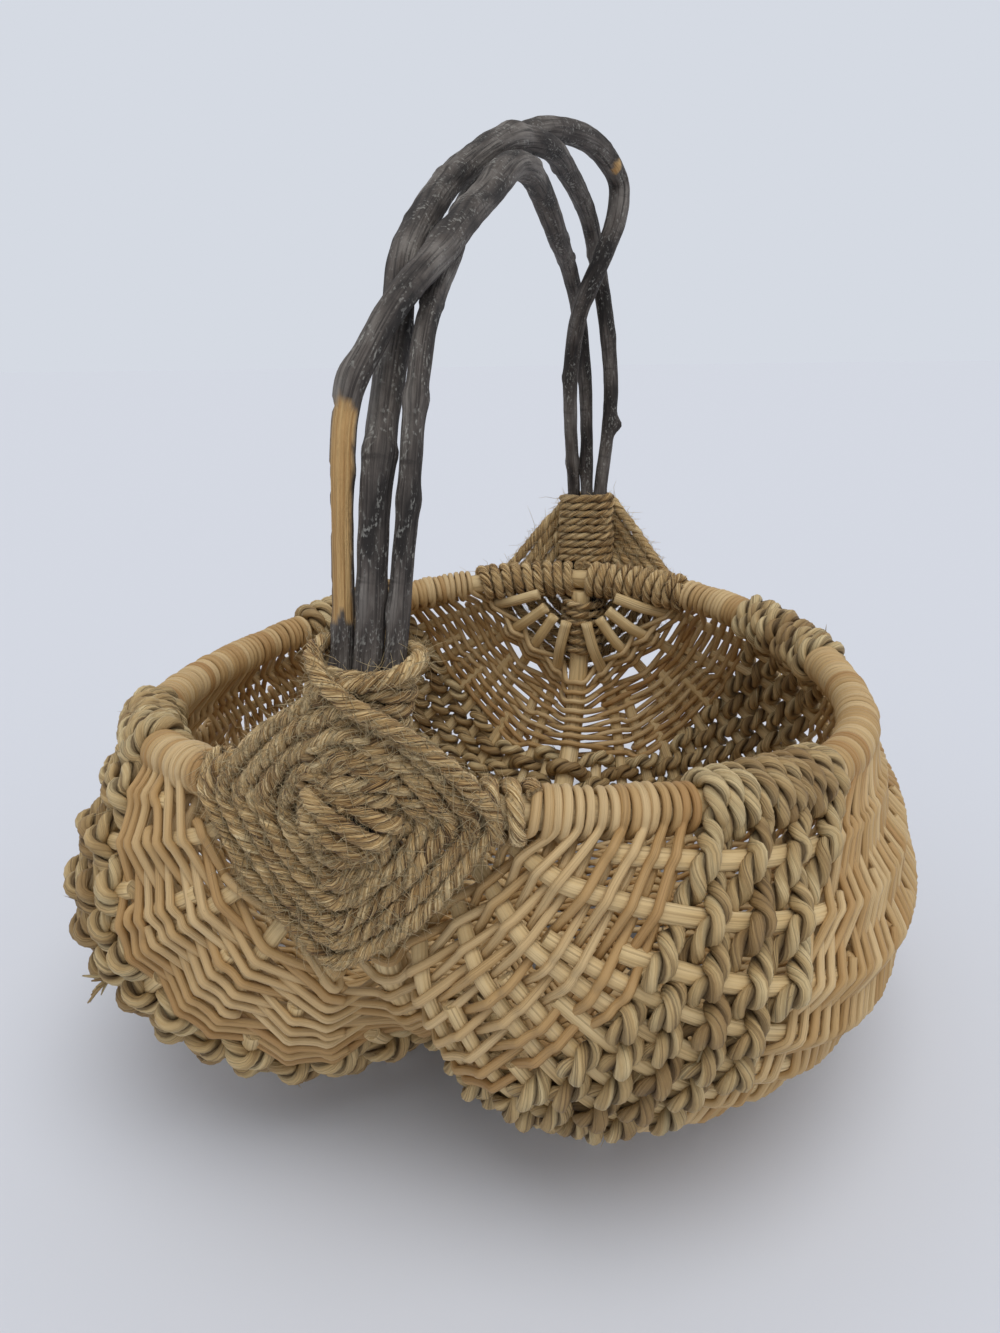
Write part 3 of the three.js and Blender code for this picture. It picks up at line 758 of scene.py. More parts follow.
@dataclass(frozen=True)
class BasketForm:
    """The surface of the rib centre lines, as the frame's solids have it.

    Share runs from 0 at the rim to 1 at the keel, angle from -90 degrees at the front lashing
    to +90 at the rear one, and station from -1 at the front lashing's edge to +1 at the rear's.
    """

    rim_half_width: float = 109 * MM
    rim_half_length: float = 115 * MM
    rim_dip: float = 13 * MM
    hoop_radius: float = 4 * MM
    lobe_half_width: float = 125 * MM
    lobe_widest_depth: float = 62 * MM
    lobe_shoulder_x: float = 91 * MM
    lobe_shoulder_depth: float = 102 * MM
    lobe_bottom_x: float = 44 * MM
    lobe_depth: float = 117 * MM
    keel_depth: float = 106 * MM
    lobe_fullness: float = 0.57
    keel_fullness: float = 0.75
    cheek_bulge: float = 0.2
    rim_blend: float = 1.45
    rim_width_power: float = 1.0
    rim_dip_power: float = 2.0
    fullness_power: float = 0.7
    rib_radius: float = 1.9 * MM
    rib_tuck: float = 11 * MM
    tuck_inner: float = 26 * MM
    tuck_outer: float = 50 * MM
    tuck_fade: float = 0.1
    keel_radius: float = 4 * MM
    rim_height: float = 120.1 * MM
    eye_reach: float = 48 * MM
    eye_inside: float = 20 * MM
    reed_end: float = 2 / 3
    grass_end: float = 1 / 3
    reed_width_rim: float = 30 * MM
    reed_width_keel: float = 42 * MM
    reed_belly: float = 2 * MM
    front_left_belly: float = 20 * MM
    seagrass_width_rim: float = 48 * MM
    seagrass_width_keel: float = 40 * MM
    seagrass_belly: float = -5 * MM
    ribs_per_lobe: int = 12
    rib_group: int = 3
    section_steps: int = 120
    track_samples: int = 240

    @property
    def columns(self) -> int:
        """Rib spaces from one rim over the keel to the other."""
        return 2 * (self.ribs_per_lobe + 1)

    @cached_property
    def section(self) -> tuple[Array, Array]:
        """Shares and places of the middle section from the right rim to the keel."""
        half = [
            (self.rim_half_width, -self.rim_dip),
            (self.lobe_half_width, -self.lobe_widest_depth),
            (self.lobe_shoulder_x, -self.lobe_shoulder_depth),
            (self.lobe_bottom_x, -self.lobe_depth),
        ]
        keel = (0.0, -self.keel_depth)
        whole = half + [keel] + [(-x, z) for x, z in reversed(half)]
        line = flowing_line(np.array([(x, 0.0, z) for x, z in whole]), self.section_steps)
        length = run_length(line)
        middle = len(line) // 2
        return length[: middle + 1] / length[middle], line[: middle + 1]

    def point(self, side: Array, share: Array, angle: Array) -> Array:
        """Places on the surface.

        Args:
            side: 1 on the right lobe, -1 on the left.
            share: From the rim to the keel.
            angle: From the front to the rear, in radians.

        Returns:
            Points with the inputs' common shape.
        """
        side, share, angle = np.broadcast_arrays(side, share, angle)
        held = np.clip(share, 0.0, 1.0)
        shares, line = self.section
        middle_x = np.interp(held, shares, line[:, 0])
        middle_z = np.interp(held, shares, line[:, 2])
        full = np.sin(pi * held) ** self.fullness_power
        upper = held < 0.5
        start_x = np.where(upper, self.rim_width_power, self.keel_fullness)
        start_z = np.where(upper, self.rim_dip_power, self.keel_fullness)
        early = np.where(upper, np.minimum(1.0, self.rim_blend * full), full)
        cosine = np.maximum(np.cos(angle), 0.0)
        x = middle_x * cosine ** (start_x + (self.lobe_fullness - start_x) * full)
        z = middle_z * cosine ** (start_z + (self.lobe_fullness - start_z) * early)
        near = smooth((self.tuck_outer - np.hypot(x, z)) / (self.tuck_outer - self.tuck_inner))
        fade = smooth(held / self.tuck_fade) * smooth((1.0 - held) / self.tuck_fade)
        y = self.rim_half_length * np.sin(angle) * (1.0 + self.cheek_bulge * full * cosine)
        y = y - np.sign(angle) * self.rib_tuck * near * fade
        return np.stack([side * x, y, self.rim_height + z], axis=-1)

    def outward(self, side: Array, share: Array, angle: Array) -> Array:
        """Directions out of the basket, with the inputs' common shape."""
        side, share, angle = np.broadcast_arrays(side, share, angle)
        step = 0.004
        low = np.maximum(share - step, 0.0)
        high = np.minimum(share + step, 1.0)
        across = self.point(1.0, high, angle) - self.point(1.0, low, angle)
        along = self.point(1.0, share, angle + step) - self.point(1.0, share, angle - step)
        normal = np.cross(across, along)
        normal[..., 0] = np.where(share >= 1.0, 0.0, normal[..., 0])
        normal = unit(normal)
        normal[..., 0] = normal[..., 0] * side
        return normal

    @lru_cache(maxsize=None)
    def track(self, share: float) -> tuple[Array, Array, float]:
        """One rib line from inside the front lashing to the middle.

        Args:
            share: Which rib line.

        Returns:
            Angles, lengths from the lashing's edge, and the length to the middle.
        """
        part = 1.0 - np.arange(self.track_samples + 1) / self.track_samples
        angles = (-pi / 2) * (1.0 - (1.0 - part) ** 2)
        points = self.point(1.0, share, angles)
        reach = np.abs(points[:, 0]) + np.abs(points[:, 2] - self.rim_height)
        inside = reach >= self.eye_inside
        angles, points, reach = angles[inside], points[inside], reach[inside]
        length = run_length(points)
        length = length - np.interp(self.eye_reach, reach, length)
        return angles, length, float(length[-1])

    def distance(self, side: float, share: float, station: float) -> float:
        """Where a station lies on one rib line.

        Args:
            side: 1 on the right lobe, -1 on the left.
            share: Which rib line.
            station: From -1 at the front lashing's edge to 1 at the rear's.

        Returns:
            Distance from the middle, towards the rear.
        """
        total = self.track(share)[2]
        belly = sin(pi * share)
        swell = self.front_left_belly if station < 0 and side < 0 else self.reed_belly
        reed = self.reed_width_rim + (self.reed_width_keel - self.reed_width_rim) * share + swell * belly
        grass = self.seagrass_width_rim + (self.seagrass_width_keel - self.seagrass_width_rim) * share
        grass += self.seagrass_belly * belly
        spot = abs(station)
        if spot >= self.reed_end:
            length = reed * (1.0 - spot) / (1.0 - self.reed_end)
        elif spot >= self.grass_end:
            length = reed + grass * (self.reed_end - spot) / (self.reed_end - self.grass_end)
        else:
            length = total + (reed + grass - total) * spot / self.grass_end
        return copysign(total - length, station)

    def angles_from(self, share: float, distances: Array) -> Array:
        """Angles of places on one rib line, given by their distance from the middle."""
        angles, length, total = self.track(share)
        found = np.interp(total - np.abs(distances), length, angles)
        return np.where(np.asarray(distances) > 0, -found, found)

    def column(self, place_across: float) -> Pair:
        """Side and share of a place counted in rib spaces from the right rim to the left."""
        middle = self.columns / 2
        if place_across <= middle:
            return 1.0, place_across / middle
        return -1.0, (self.columns - place_across) / middle

    def hoop(self, side: float, angle: Array) -> tuple[Array, ...]:
        """The rim hoop's centre line.

        Args:
            side: 1 on the right, -1 on the left.
            angle: From the front to the rear.

        Returns:
            Points, directions along, upward and outward.
        """
        angle = np.asarray(angle, float)
        points = self.point(side, 0.0, angle)
        along = unit(np.stack([
            -side * self.rim_half_width * np.sin(angle),
            self.rim_half_length * np.cos(angle),
            self.rim_dip * np.sin(2.0 * angle),
        ], axis=-1))
        lift = unit(UP - along * along[..., 2:3])
        out = np.cross(along, lift) * side
        return points, along, lift, out

    def keel_line(self, angle: Array) -> Array:
        """Centre line of the keel, its outer side flush with the ribs."""
        inset = self.rib_radius - self.keel_radius
        return self.point(1.0, 1.0, angle) + self.outward(1.0, 1.0, angle) * inset


FORM = BasketForm()


class Weaver(Enum):
    """What a band is woven from."""

    REED = "round_reed"
    SEAGRASS = "seagrass"


@dataclass
class HoopAndKeel:
    """The bent rim hoop and the keel under it."""

    form: BasketForm
    keel_gap: float = 0.5 * MM
    sides: int = 16
    steps: int = 180

    def build(self, material: Material) -> list[Piece]:
        """Builds both rods.

        Args:
            material: Finish of the bent wood.

        Returns:
            The two pieces.
        """
        angles = np.linspace(-pi / 2, pi / 2, self.steps + 1)
        right = self.form.hoop(1.0, angles)[0]
        left = self.form.hoop(-1.0, angles[::-1])[0]
        ring = np.vstack([right, left[1:], right[1:3]])
        hoop = Bundle("rim_hoop_rod")
        hoop.add(Strand.along(ring, self.form.hoop_radius, self.sides))
        top = self.form.hoop_radius + self.keel_gap
        end = acos((top / self.form.keel_depth) ** (1.0 / self.form.keel_fullness))
        line = self.form.keel_line(np.linspace(-end, end, self.steps))
        keel = Bundle("keel_rod")
        keel.add(Strand.along(line, self.form.keel_radius, self.sides))
        return [
            place(hoop.build(material), ["rim_hoop"]),
            place(keel.build(material), ["keel"]),
        ]


@dataclass
class RibSet:
    """The ribs of one lobe: one of each group is long and ends inside the lashings."""

    form: BasketForm
    side_name: str
    side: float
    seed: int
    first_long: int = 2
    end_reach: float = 17 * MM
    short_end: float = 0.86
    last_end: float = 0.71
    wander: float = 0.03
    half_width: float = 2.3 * MM
    width_range: Pair = (0.94, 1.06)
    flatness: float = 0.72
    ridge: float = 0.035
    fine_ridge: float = 0.02
    sides: int = 12
    spacing: float = 2.2 * MM
    samples: int = 160
    end_samples: int = 2000

    def build(self, material: Material) -> Piece:
        """Builds the lobe's ribs as one piece.

        Args:
            material: Finish of the ribs.

        Returns:
            The piece.
        """
        chance = Random(self.seed)
        bundle = Bundle(f"{self.side_name}_ribs")
        count = self.form.ribs_per_lobe
        turn = ring_angles(self.sides)
        for index in range(1, count + 1):
            share = index / (count + 1)
            past_long = (index - self.first_long) % self.form.rib_group
            if past_long == 0:
                ends = [-self.long_end(share), self.long_end(share)]
            else:
                start = self.last_end if past_long == 1 else self.short_end
                spots = [end * (start + chance.uniform(-self.wander, self.wander)) for end in (-1.0, 1.0)]
                places = np.array([self.form.distance(self.side, share, spot) for spot in spots])
                ends = list(self.form.angles_from(share, places))
            rough = np.linspace(ends[0], ends[1], self.samples)
            line = np.hstack([self.form.point(self.side, share, rough), rough[:, None]])
            angles = even_steps(line, self.spacing)[:, 3]
            line = self.form.point(self.side, share, angles)
            normal = self.form.outward(self.side, share, angles)
            ridges = 1.0 + self.ridge * np.cos(4.0 * turn) + self.fine_ridge * np.cos(6.0 * turn + index)
            profile = np.broadcast_to(ridges, (len(line), self.sides))
            wide = self.half_width * chance.uniform(*self.width_range)
            tone = chance.random()
            bundle.add(Strand.along(line, wide, self.sides, tone, normal, profile, self.flatness))
        nodes = [f"{self.side_name}_rib_{index}" for index in range(1, count + 1)]
        return place(bundle.build(material), nodes)

    def long_end(self, share: float) -> float:
        """Angle at which a long rib ends beside the crossing."""
        angles = np.linspace(0.0, pi / 2, self.end_samples)
        points = self.form.point(1.0, share, angles)
        reach = np.hypot(points[:, 0], points[:, 2] - self.form.rim_height)
        return float(angles[np.argmax(reach < self.end_reach)])


@dataclass(frozen=True)
class EdgeShift:
    """How far an edge of a band reaches past its mark, along the ribs.

    Attributes:
        right_rim: At the right rim.
        right: On the right ribs between rim and keel.
        keel: At the keel.
        left: On the left ribs.
        left_rim: At the left rim.
    """

    right_rim: float = 0.0
    right: float = 0.0
    keel: float = 0.0
    left: float = 0.0
    left_rim: float = 0.0

    def at(self, side: float, share: float) -> float:
        """The shift on one rib line."""
        rim, middle = (self.right_rim, self.right) if side > 0 else (self.left_rim, self.left)
        return float(np.interp(share, SHIFT_SHARES, (rim, middle, middle, self.keel)))


@dataclass(frozen=True)
class SeagrassRope:
    """Rope of two plies, each a twisted bundle of folded leaves.

    Attributes:
        pitch: Length of one full twist.
        fold_twist: Turn of the leaf folds, in radians, to one full twist.
        lump_rate: Turn of the lumps on a ply, in radians to a metre.
        wisp_length: Least and greatest length of a split leaf edge, in millimetres.
        strip_length: The same for a strip of a frayed end.
        fray: Power by which the strips spread.
    """

    pitch: float = 13.2 * MM
    ply_radius: float = 1.72 * MM
    ply_flat: float = 0.95
    ply_offset: float = 1.45 * MM
    sides: int = 10
    folds: int = 3
    fold_twist: float = 1.7
    hollow: float = 0.88
    fold_height: float = 0.15
    lump: float = 0.05
    lump_rate: float = 210.0
    swing: float = 0.9
    swell: float = 0.22
    wisps: int = 70
    wisp_length: Pair = (3.0, 7.0)
    strips: int = 9
    strip_length: Pair = (5.0, 8.0)
    fray: float = 1.4

    def add(self, bundle: Bundle, path: Array, seed: int) -> None:
        """Sweeps the rope along a path.

        Args:
            bundle: Where the plies go.
            path: Centre line with tone and thickness columns.
            seed: Source of its unevenness.
        """
        points, tone = path[:, :3], path[:, 3]
        tangents, normals = carried_normals(points)
        across = np.cross(normals, tangents)
        length = run_length(points)
        turn = ring_angles(self.sides)[None, :]
        # Painted shade on the inner side of each ply, where the two plies meet.
        painted_ply_shade = smooth((shorter_way(turn) - 1.2) / 0.9) * np.ones((len(points), 1))
        for ply in range(2):
            swing = wobble(length, 45.0, ply * 9.0, seed)
            angle = FULL_TURN * length / self.pitch + ply * pi + swing * self.swing
            radial = off_line(angle, normals, across)
            swell = wobble(length, 150.0, ply * 7.0, seed + 3.0)
            centre = points + radial * self.ply_offset * path[:, 4:5] * (1.0 + 0.15 * swell)[:, None]
            radii = self.ply_radius * path[:, 4] * (1.0 + self.swell * swell)
            fold = turn * self.folds + (length / self.pitch * self.fold_twist + ply * 2.0)[:, None]
            edge = np.abs(np.cos(fold / 2.0)) ** 0.45
            lumps = np.cos(turn * 2.0 - (length * self.lump_rate)[:, None])
            profile = self.hollow + self.fold_height * edge + self.lump * lumps
            shades = np.clip(tone + 0.35 * swing, 0.0, 1.0)
            strand = Strand.along(centre, radii, self.sides, shades, radial, profile, self.ply_flat)
            # The painted shade of the ply's inner side joins that of its fold hollows.
            bundle.add(replace(strand, painted_shade_and_bare=np.maximum(painted_ply_shade, 0.8 * strand.painted_shade_and_bare)))
        self.add_wisps(bundle, points, seed)

    def add_wisps(self, bundle: Bundle, points: Array, seed: int) -> None:
        """Adds split leaf edges that stand off a rope.

        Args:
            bundle: Where they go.
            points: Centre line of the rope.
            seed: Source of their places.
        """
        chance = Random(seed * 31)
        tangents, normals = carried_normals(points)
        width = np.array([0.24, 0.2, 0.14, 0.04]) * MM
        for _ in range(self.wisps):
            at = chance.randrange(4, len(points) - 4)
            turn = chance.uniform(0.0, FULL_TURN)
            across = np.cross(normals[at], tangents[at])
            out = normals[at] * cos(turn) + across * sin(turn)
            way = tangents[at] * chance.choice((-1.0, 1.0)) + across * chance.uniform(-0.5, 0.5)
            size = chance.uniform(*self.wisp_length) * MM
            bend = chance.uniform(0.05, 0.4)
            start = points[at] + out * (self.ply_offset + 0.7 * self.ply_radius)
            parts = (0.0, 0.4, 0.75, 1.0)
            spots = np.array([start + (way * part + out * bend * part**1.5) * size for part in parts])
            spots[:, 2] = np.maximum(spots[:, 2], 0.4 * MM)
            bundle.add(Strand.along(spots, width, 4, chance.uniform(0.4, 1.0), None, None, 0.45))

    def add_cut_end(self, bundle: Bundle, start: Array, seed: int) -> None:
        """Adds a frayed end of the rope, standing out from the basket.

        Args:
            bundle: Where its strips go.
            start: Place of the cut.
            seed: Source of its unevenness.
        """
        chance = Random(seed * 37)
        way = unit(start * np.array([1.0, 0.45, 0.0]) + np.array([0.0, 0.0, -0.03]))
        width = np.array([0.95, 0.9, 0.75, 0.6, 0.3]) * MM
        for _ in range(self.strips):
            aside = np.array([chance.uniform(-0.4, 0.4) for _ in range(3)])
            size = chance.uniform(*self.strip_length) * MM
            sag = np.array([0.0, 0.0, chance.uniform(-0.5, 0.15)])
            # The power is complex at the root; the mesh takes the real part of what follows from it.
            spots = [
                start + (way * part + aside * part**self.fray + sag * part**2) * size
                for part in (-0.5, 0.1, 0.5, 0.8, 1.0)
            ]
            bundle.add(Strand.along(np.array(spots), width, 5, chance.uniform(0.2, 0.9), None, None, 0.5))


@dataclass
class WovenBand:
    """Rows of one weaver over and under the ribs, turned round the rim at both ends.

    The rows keep an even pitch: where the basket is wider, pairs of shorter rows fill in that
    turn back round a rib.

    Attributes:
        warps: Ribs and keel that its rows pass, in rib spaces from the right rim.
        rows: Number of single rows; rows come in pairs at the pitch where it is none.
        steady: Whether the right lobe has whole rows alone.
        paired: Whether rows pass a long rib and its short neighbour on the same side.
        honey: Stretch of the band, from 0 to 1, with darker rows.
        rim_lead: Degrees by which a turn round the hoop overlaps its rows.
    """

    form: BasketForm
    name: str
    node: str
    first: float
    last: float
    warps: Sequence[int]
    seed: int
    weaver: Weaver = Weaver.REED
    pitch: float = 2.2 * MM
    rows: int = 0
    least: int = 2
    steady: bool = False
    paired: bool = False
    pieces: int = 1
    start: EdgeShift = EdgeShift()
    stop: EdgeShift = EdgeShift()
    thickness: float = 2.2 * MM
    spacing: float = 1.2 * MM
    sides: int = 7
    rib_half_depth: float = 1.65 * MM
    shoulder: float = 1.9 * MM
    shoulder_height: float = 0.66
    keel_shoulder: float = 0.7
    slack: float = 0.15
    firmness: Pair = (0.96, 1.07)
    girths: Pair = (0.93, 1.05)
    tone: float = 0.4
    tone_spread: float = 0.22
    honey: Pair = (2.0, 2.0)
    honey_tones: Pair = (0.6, 0.8)
    rim_lead: float = 18.0
    rim_sway: float = 0.42
    rim_bite: float = 0.48
    rope: SeagrassRope = SeagrassRope()
    cut_end: tuple = ()

    @cached_property
    def columns(self) -> tuple[int, ...]:
        """The right rim, the band's warps and the left rim, in rib spaces."""
        return (0, *self.warps, self.form.columns)

    @cached_property
    def limits(self) -> Array:
        """Start and end of the band on each column, as distances from the middle."""
        found = []
        for column in self.columns:
            side, share = self.form.column(float(column))
            found.append((
                self.form.distance(side, share, self.first) - self.start.at(side, share),
                self.form.distance(side, share, self.last) + self.stop.at(side, share),
            ))
        return np.array(found)

    @cached_property
    def groups(self) -> Array:
        """Number of rows, or of pairs of rows, on each column."""
        if self.rows:
            return np.full(len(self.columns), self.rows)
        width = self.limits[:, 1] - self.limits[:, 0]
        counts = np.maximum(self.least, np.round(width / (2.0 * self.pitch)).astype(int))
        if self.steady:
            counts[np.array(self.columns) <= self.form.columns // 2] = self.least
        counts[[0, -1]] = counts.min()
        return counts

    @cached_property
    def present(self) -> Array:
        """Whether each group of rows is there on each column; fill-ins are spread evenly."""
        count = int(self.groups.max())

        def halved(number: int) -> float:
            """Place of a number in an evenly filling sequence."""
            value, part = 0.0, 0.5
            while number:
                value += part * (number & 1)
                number >>= 1
                part /= 2
            return value

        order = np.argsort(np.argsort([halved(number) for number in range(count)]))
        turn = np.empty(count, int)
        turn[order] = np.arange(count)
        second = int(np.flatnonzero(turn == 1)[0]) if count > 1 else 0
        turn[second], turn[-1] = turn[-1], turn[second]
        return turn[:, None] < self.groups[None, :]

    def at(self, group: int, half: int) -> Array:
        """Distance from the middle of one row on each column."""
        before = np.sum(self.present[:group], axis=0)
        part = (before + 0.5) / self.groups if self.rows else (2 * before + half + 0.5) / (2 * self.groups)
        return self.limits[:, 0] + (self.limits[:, 1] - self.limits[:, 0]) * part

    def heights(self, warp: int, over: bool) -> Triple:
        """How a row passes one warp.

        Args:
            warp: Which warp, in rib spaces from the right rim.
            over: Whether the row passes outside it.

        Returns:
            Distance outward on the warp and beside it, and how far beside.
        """
        half = self.thickness / 2
        if warp == self.form.columns // 2:
            sink = self.form.keel_radius - self.form.rib_radius
            reach = self.form.keel_radius + half
            beside = self.keel_shoulder * reach
            rise = sqrt(reach**2 - beside**2)
            return (reach - sink, rise - sink, beside) if over else (-reach - sink, -rise - sink, beside)
        reach = self.rib_half_depth + half
        sign = 1.0 if over else -1.0
        return sign * reach, sign * self.shoulder_height * reach, self.shoulder + 0.35 * half

    def rim_turn(self, side: float, outer: float, inner: float, chance: Random) -> Array:
        """Turns round the hoop from the row outside to the row inside, as many as fill the space.

        Args:
            side: 1 on the right, -1 on the left.
            outer: Place of the row that comes up outside.
            inner: Place of the row that goes down inside.
            chance: Source of the small irregularities.

        Returns:
            Points of the turn.
        """
        passes = max(2, round(2.0 * abs(inner - outer) / self.thickness))
        last = 180.0 + self.rim_lead + 360.0 * (passes - 1)
        degrees = np.linspace(-self.rim_lead, last, 5 + 8 * passes)
        advance = 2.0 * (inner - outer) / passes / 360.0
        places = (outer + inner) / 2 + advance * (degrees - (last - self.rim_lead) / 2)
        sway = chance.uniform(-self.rim_sway, self.rim_sway) * self.thickness
        places = places + sway * np.sin(np.linspace(0.0, pi, len(degrees)))
        return self.around_hoop(side, places, degrees, chance.uniform(0.98, 1.1))

    def loose_end(self, outside: bool) -> Array:
        """Degrees round the hoop from a weaver's tip to its first row, outside or inside."""
        if outside:
            return np.linspace(250.0, -self.rim_lead, 9)
        return np.linspace(-60.0, 180.0 + self.rim_lead, 9)

    def around_hoop(self, side: float, places: Array, degrees: Array, loose: float = 1.0) -> Array:
        """Points on the wrapped hoop; 0 degrees is outside and 90 on top."""
        angle = self.form.angles_from(0.0, places)
        points, _, lift, out = self.form.hoop(side, angle)
        turn = np.radians(degrees)[:, None]
        reach = (self.form.hoop_radius + self.thickness * self.rim_bite) * loose
        return points + (np.cos(turn) * out + np.sin(turn) * lift) * reach

    def row_points(self, group: int, half: int, run: range, chance: Random) -> Array:
        """One row over a run of warps, straight from one warp to the next.

        Args:
            group: Which group of rows.
            half: Which row of the group.
            run: Which warps, by their number in the band.
            chance: Source of the small irregularities.

        Returns:
            Points of the row, three to a warp.
        """
        places = self.at(group, half)
        parity = group if self.rows else half
        pitch = (self.limits[:, 1] - self.limits[:, 0]) / self.groups / (1 if self.rows else 2)
        bases, normals = [], []
        for index in run:
            side, share = self.form.column(float(self.warps[index]))
            moved = places[index + 1] + chance.uniform(-self.slack, self.slack) * pitch[index + 1]
            angle = self.form.angles_from(share, np.array([moved]))
            bases.append(self.form.point(side, share, angle)[0])
            normals.append(self.form.outward(side, share, angle)[0])
        base, normal = np.array(bases), np.array(normals)
        along = unit(np.gradient(base, axis=0))
        line = []
        for spot, index in enumerate(run):
            step = self.warps[index] // self.form.rib_group if self.paired else index
            on_top, beside, reach = self.heights(self.warps[index], (step + parity) % 2 == 0)
            firm = chance.uniform(*self.firmness)
            line.append(base[spot] + normal[spot] * beside * firm - along[spot] * reach)
            line.append(base[spot] + normal[spot] * on_top * firm)
            line.append(base[spot] + normal[spot] * beside * firm + along[spot] * reach)
        return np.array(line)

    def shade(self, group: int, chance: Random) -> float:
        """Colour share of a group of rows: honey where the band asks for it."""
        part = (group + 0.5) / int(self.groups.max())
        if self.honey[0] <= part <= self.honey[1]:
            return chance.uniform(*self.honey_tones)
        return min(0.85, max(0.08, chance.gauss(self.tone, self.tone_spread)))

    def chain(self, rows: Sequence[tuple[int, int]], chance: Random) -> Array:
        """Joins whole rows end to end into one running weaver.

        Args:
            rows: Group and half of each row, in order.
            chance: Source of the small irregularities.

        Returns:
            Points with tone and thickness columns.
        """
        parts: list[Array] = []
        whole = range(len(self.warps))
        side = -1.0
        for number, (group, half) in enumerate(rows):
            look = np.array([self.shade(group, chance), chance.uniform(*self.girths)])

            def lay(points: Array, vary: float = 0.0) -> None:
                """Adds points of this row with its tone and thickness."""
                change = np.array([chance.uniform(-0.25, 0.25), chance.uniform(-0.07, 0.07)]) * vary
                parts.append(np.hstack([points, np.tile(look + change, (len(points), 1))]))

            outside = (group if self.rows else half) % 2 == 0
            here = self.at(group, half)
            line = self.row_points(group, half, whole, chance)
            if side < 0:
                line = line[::-1]
            rim = 0 if side > 0 else -1
            if number == 0:
                ends = self.loose_end(outside)
                lay(self.around_hoop(side, np.full(len(ends), here[rim]), ends))
            lay(line)
            side = -side
            rim = 0 if side > 0 else -1
            if number + 1 < len(rows):
                pair = (here[rim], self.at(*rows[number + 1])[rim])
                turn = self.rim_turn(side, *(pair if outside else pair[::-1]), chance)
                lay(turn if outside else turn[::-1], 1.0)
            else:
                ends = self.loose_end(outside)[::-1]
                lay(self.around_hoop(side, np.full(len(ends), here[rim]), ends))
        return np.vstack(parts)

    def fill_ins(self, chance: Random) -> list[Array]:
        """Pairs of shorter rows, out to one rib, round it and back.

        Args:
            chance: Source of the small irregularities.

        Returns:
            Lines with tone and thickness columns.
        """
        lines = []
        for group, there in enumerate(self.present):
            if self.rows or there.all():
                continue
            inside = there[1:-1]
            starts = [i for i in range(len(inside)) if inside[i] and (i == 0 or not inside[i - 1])]
            for start in starts:
                end = start
                while end + 1 < len(inside) and inside[end + 1]:
                    end += 1
                if end - start < 2:
                    continue
                run = range(start, end + 1)
                out = self.row_points(group, 0, run, chance)
                back = self.row_points(group, 1, run, chance)[::-1]
                if chance.random() < 0.5:
                    out, back = out[::-1], back[::-1]
                middle = (out[-1] + back[0]) / 2
                turn = middle + (middle - (out[-2] + back[1]) / 2) * 0.45
                first = out[0] * 2 - out[1]
                last = back[-1] * 2 - back[-2]
                points = np.vstack([first, out, turn, back, last])
                look = [self.shade(group, chance), chance.uniform(*self.girths)]
                lines.append(np.hstack([points, np.tile(look, (len(points), 1))]))
        return lines

    def build(self, material: Material) -> list[Piece]:
        """Weaves the band.

        Args:
            material: Finish of the weaver.

        Returns:
            The band's pieces, all standing for its node.
        """
        halves = (0,) if self.rows else (0, 1)
        whole = [(group, half) for group in np.flatnonzero(self.present.all(axis=1)) for half in halves]
        share = ceil(len(whole) / self.pieces)
        share += share % 2
        runs = [whole[start:start + share] for start in range(0, len(whole), share)]
        made = []
        for number, rows in enumerate(runs):
            chance = Random(self.seed * 100 + number)
            bundle = Bundle(self.name if len(runs) == 1 else f"{self.name}_{number + 1}")
            lines = [self.chain(rows, chance)]
            if len(runs) == 1:
                lines += self.fill_ins(chance)
            self.add_lines(bundle, lines)
            if self.cut_end:
                self.rope.add_cut_end(bundle, np.array(self.cut_end), self.seed)
            made.append(place(bundle.build(material), [self.node]))
        if len(runs) > 1:
            bundle = Bundle(f"{self.name}_fill_ins")
            self.add_lines(bundle, self.fill_ins(Random(self.seed * 100 + 50)))
            made.append(place(bundle.build(material), [self.node]))
        return made

    def add_lines(self, bundle: Bundle, lines: Sequence[Array]) -> None:
        """Sweeps the weaver along lines.

        Args:
            bundle: Where the strands go.
            lines: Control points with tone and thickness columns.
        """
        for line in lines:
            path = even_steps(flowing_line(line, 8), self.spacing)
            if self.weaver is Weaver.REED:
                self.add_reed(bundle, path)
            else:
                self.rope.add(bundle, path, self.seed)

    def add_reed(self, bundle: Bundle, path: Array) -> None:
        """Adds a single round reed along the path."""
        points, tone = path[:, :3].copy(), path[:, 3]
        radii = self.thickness / 2 * path[:, 4]
        points[:, 2] = np.maximum(points[:, 2], radii)
        bundle.add(Strand.along(points, radii, self.sides, tone))


@dataclass(frozen=True)
class Eye:
    """What sets one lashing apart from the other.

    Attributes:
        end: 1 at the front, -1 at the rear.
        rounds: Rounds of the diamond.
        steps: Growth of a round on the neck, the hoop's right, the foot and the hoop's left.
        bows: Bow of its strands above the hoop and below it, as a share of their length.
        shift: Sideways place of the neck's middle at its start and at its top.
        lean: How far the neck leans inward on its way up.
        foot_skew: Sideways place of the branch tails' ends.
        wrap_ends: How far the turns along the hoop reach to the right and to the left.
        seeds: Sources of the irregularities of the winding and of the cord.
    """

    name: str
    end: float
    rounds: float
    steps: tuple[float, float, float, float]
    bows: Pair
    shift: Pair
    lean: float
    foot_skew: float
    wrap_ends: Pair
    seeds: tuple[int, int]


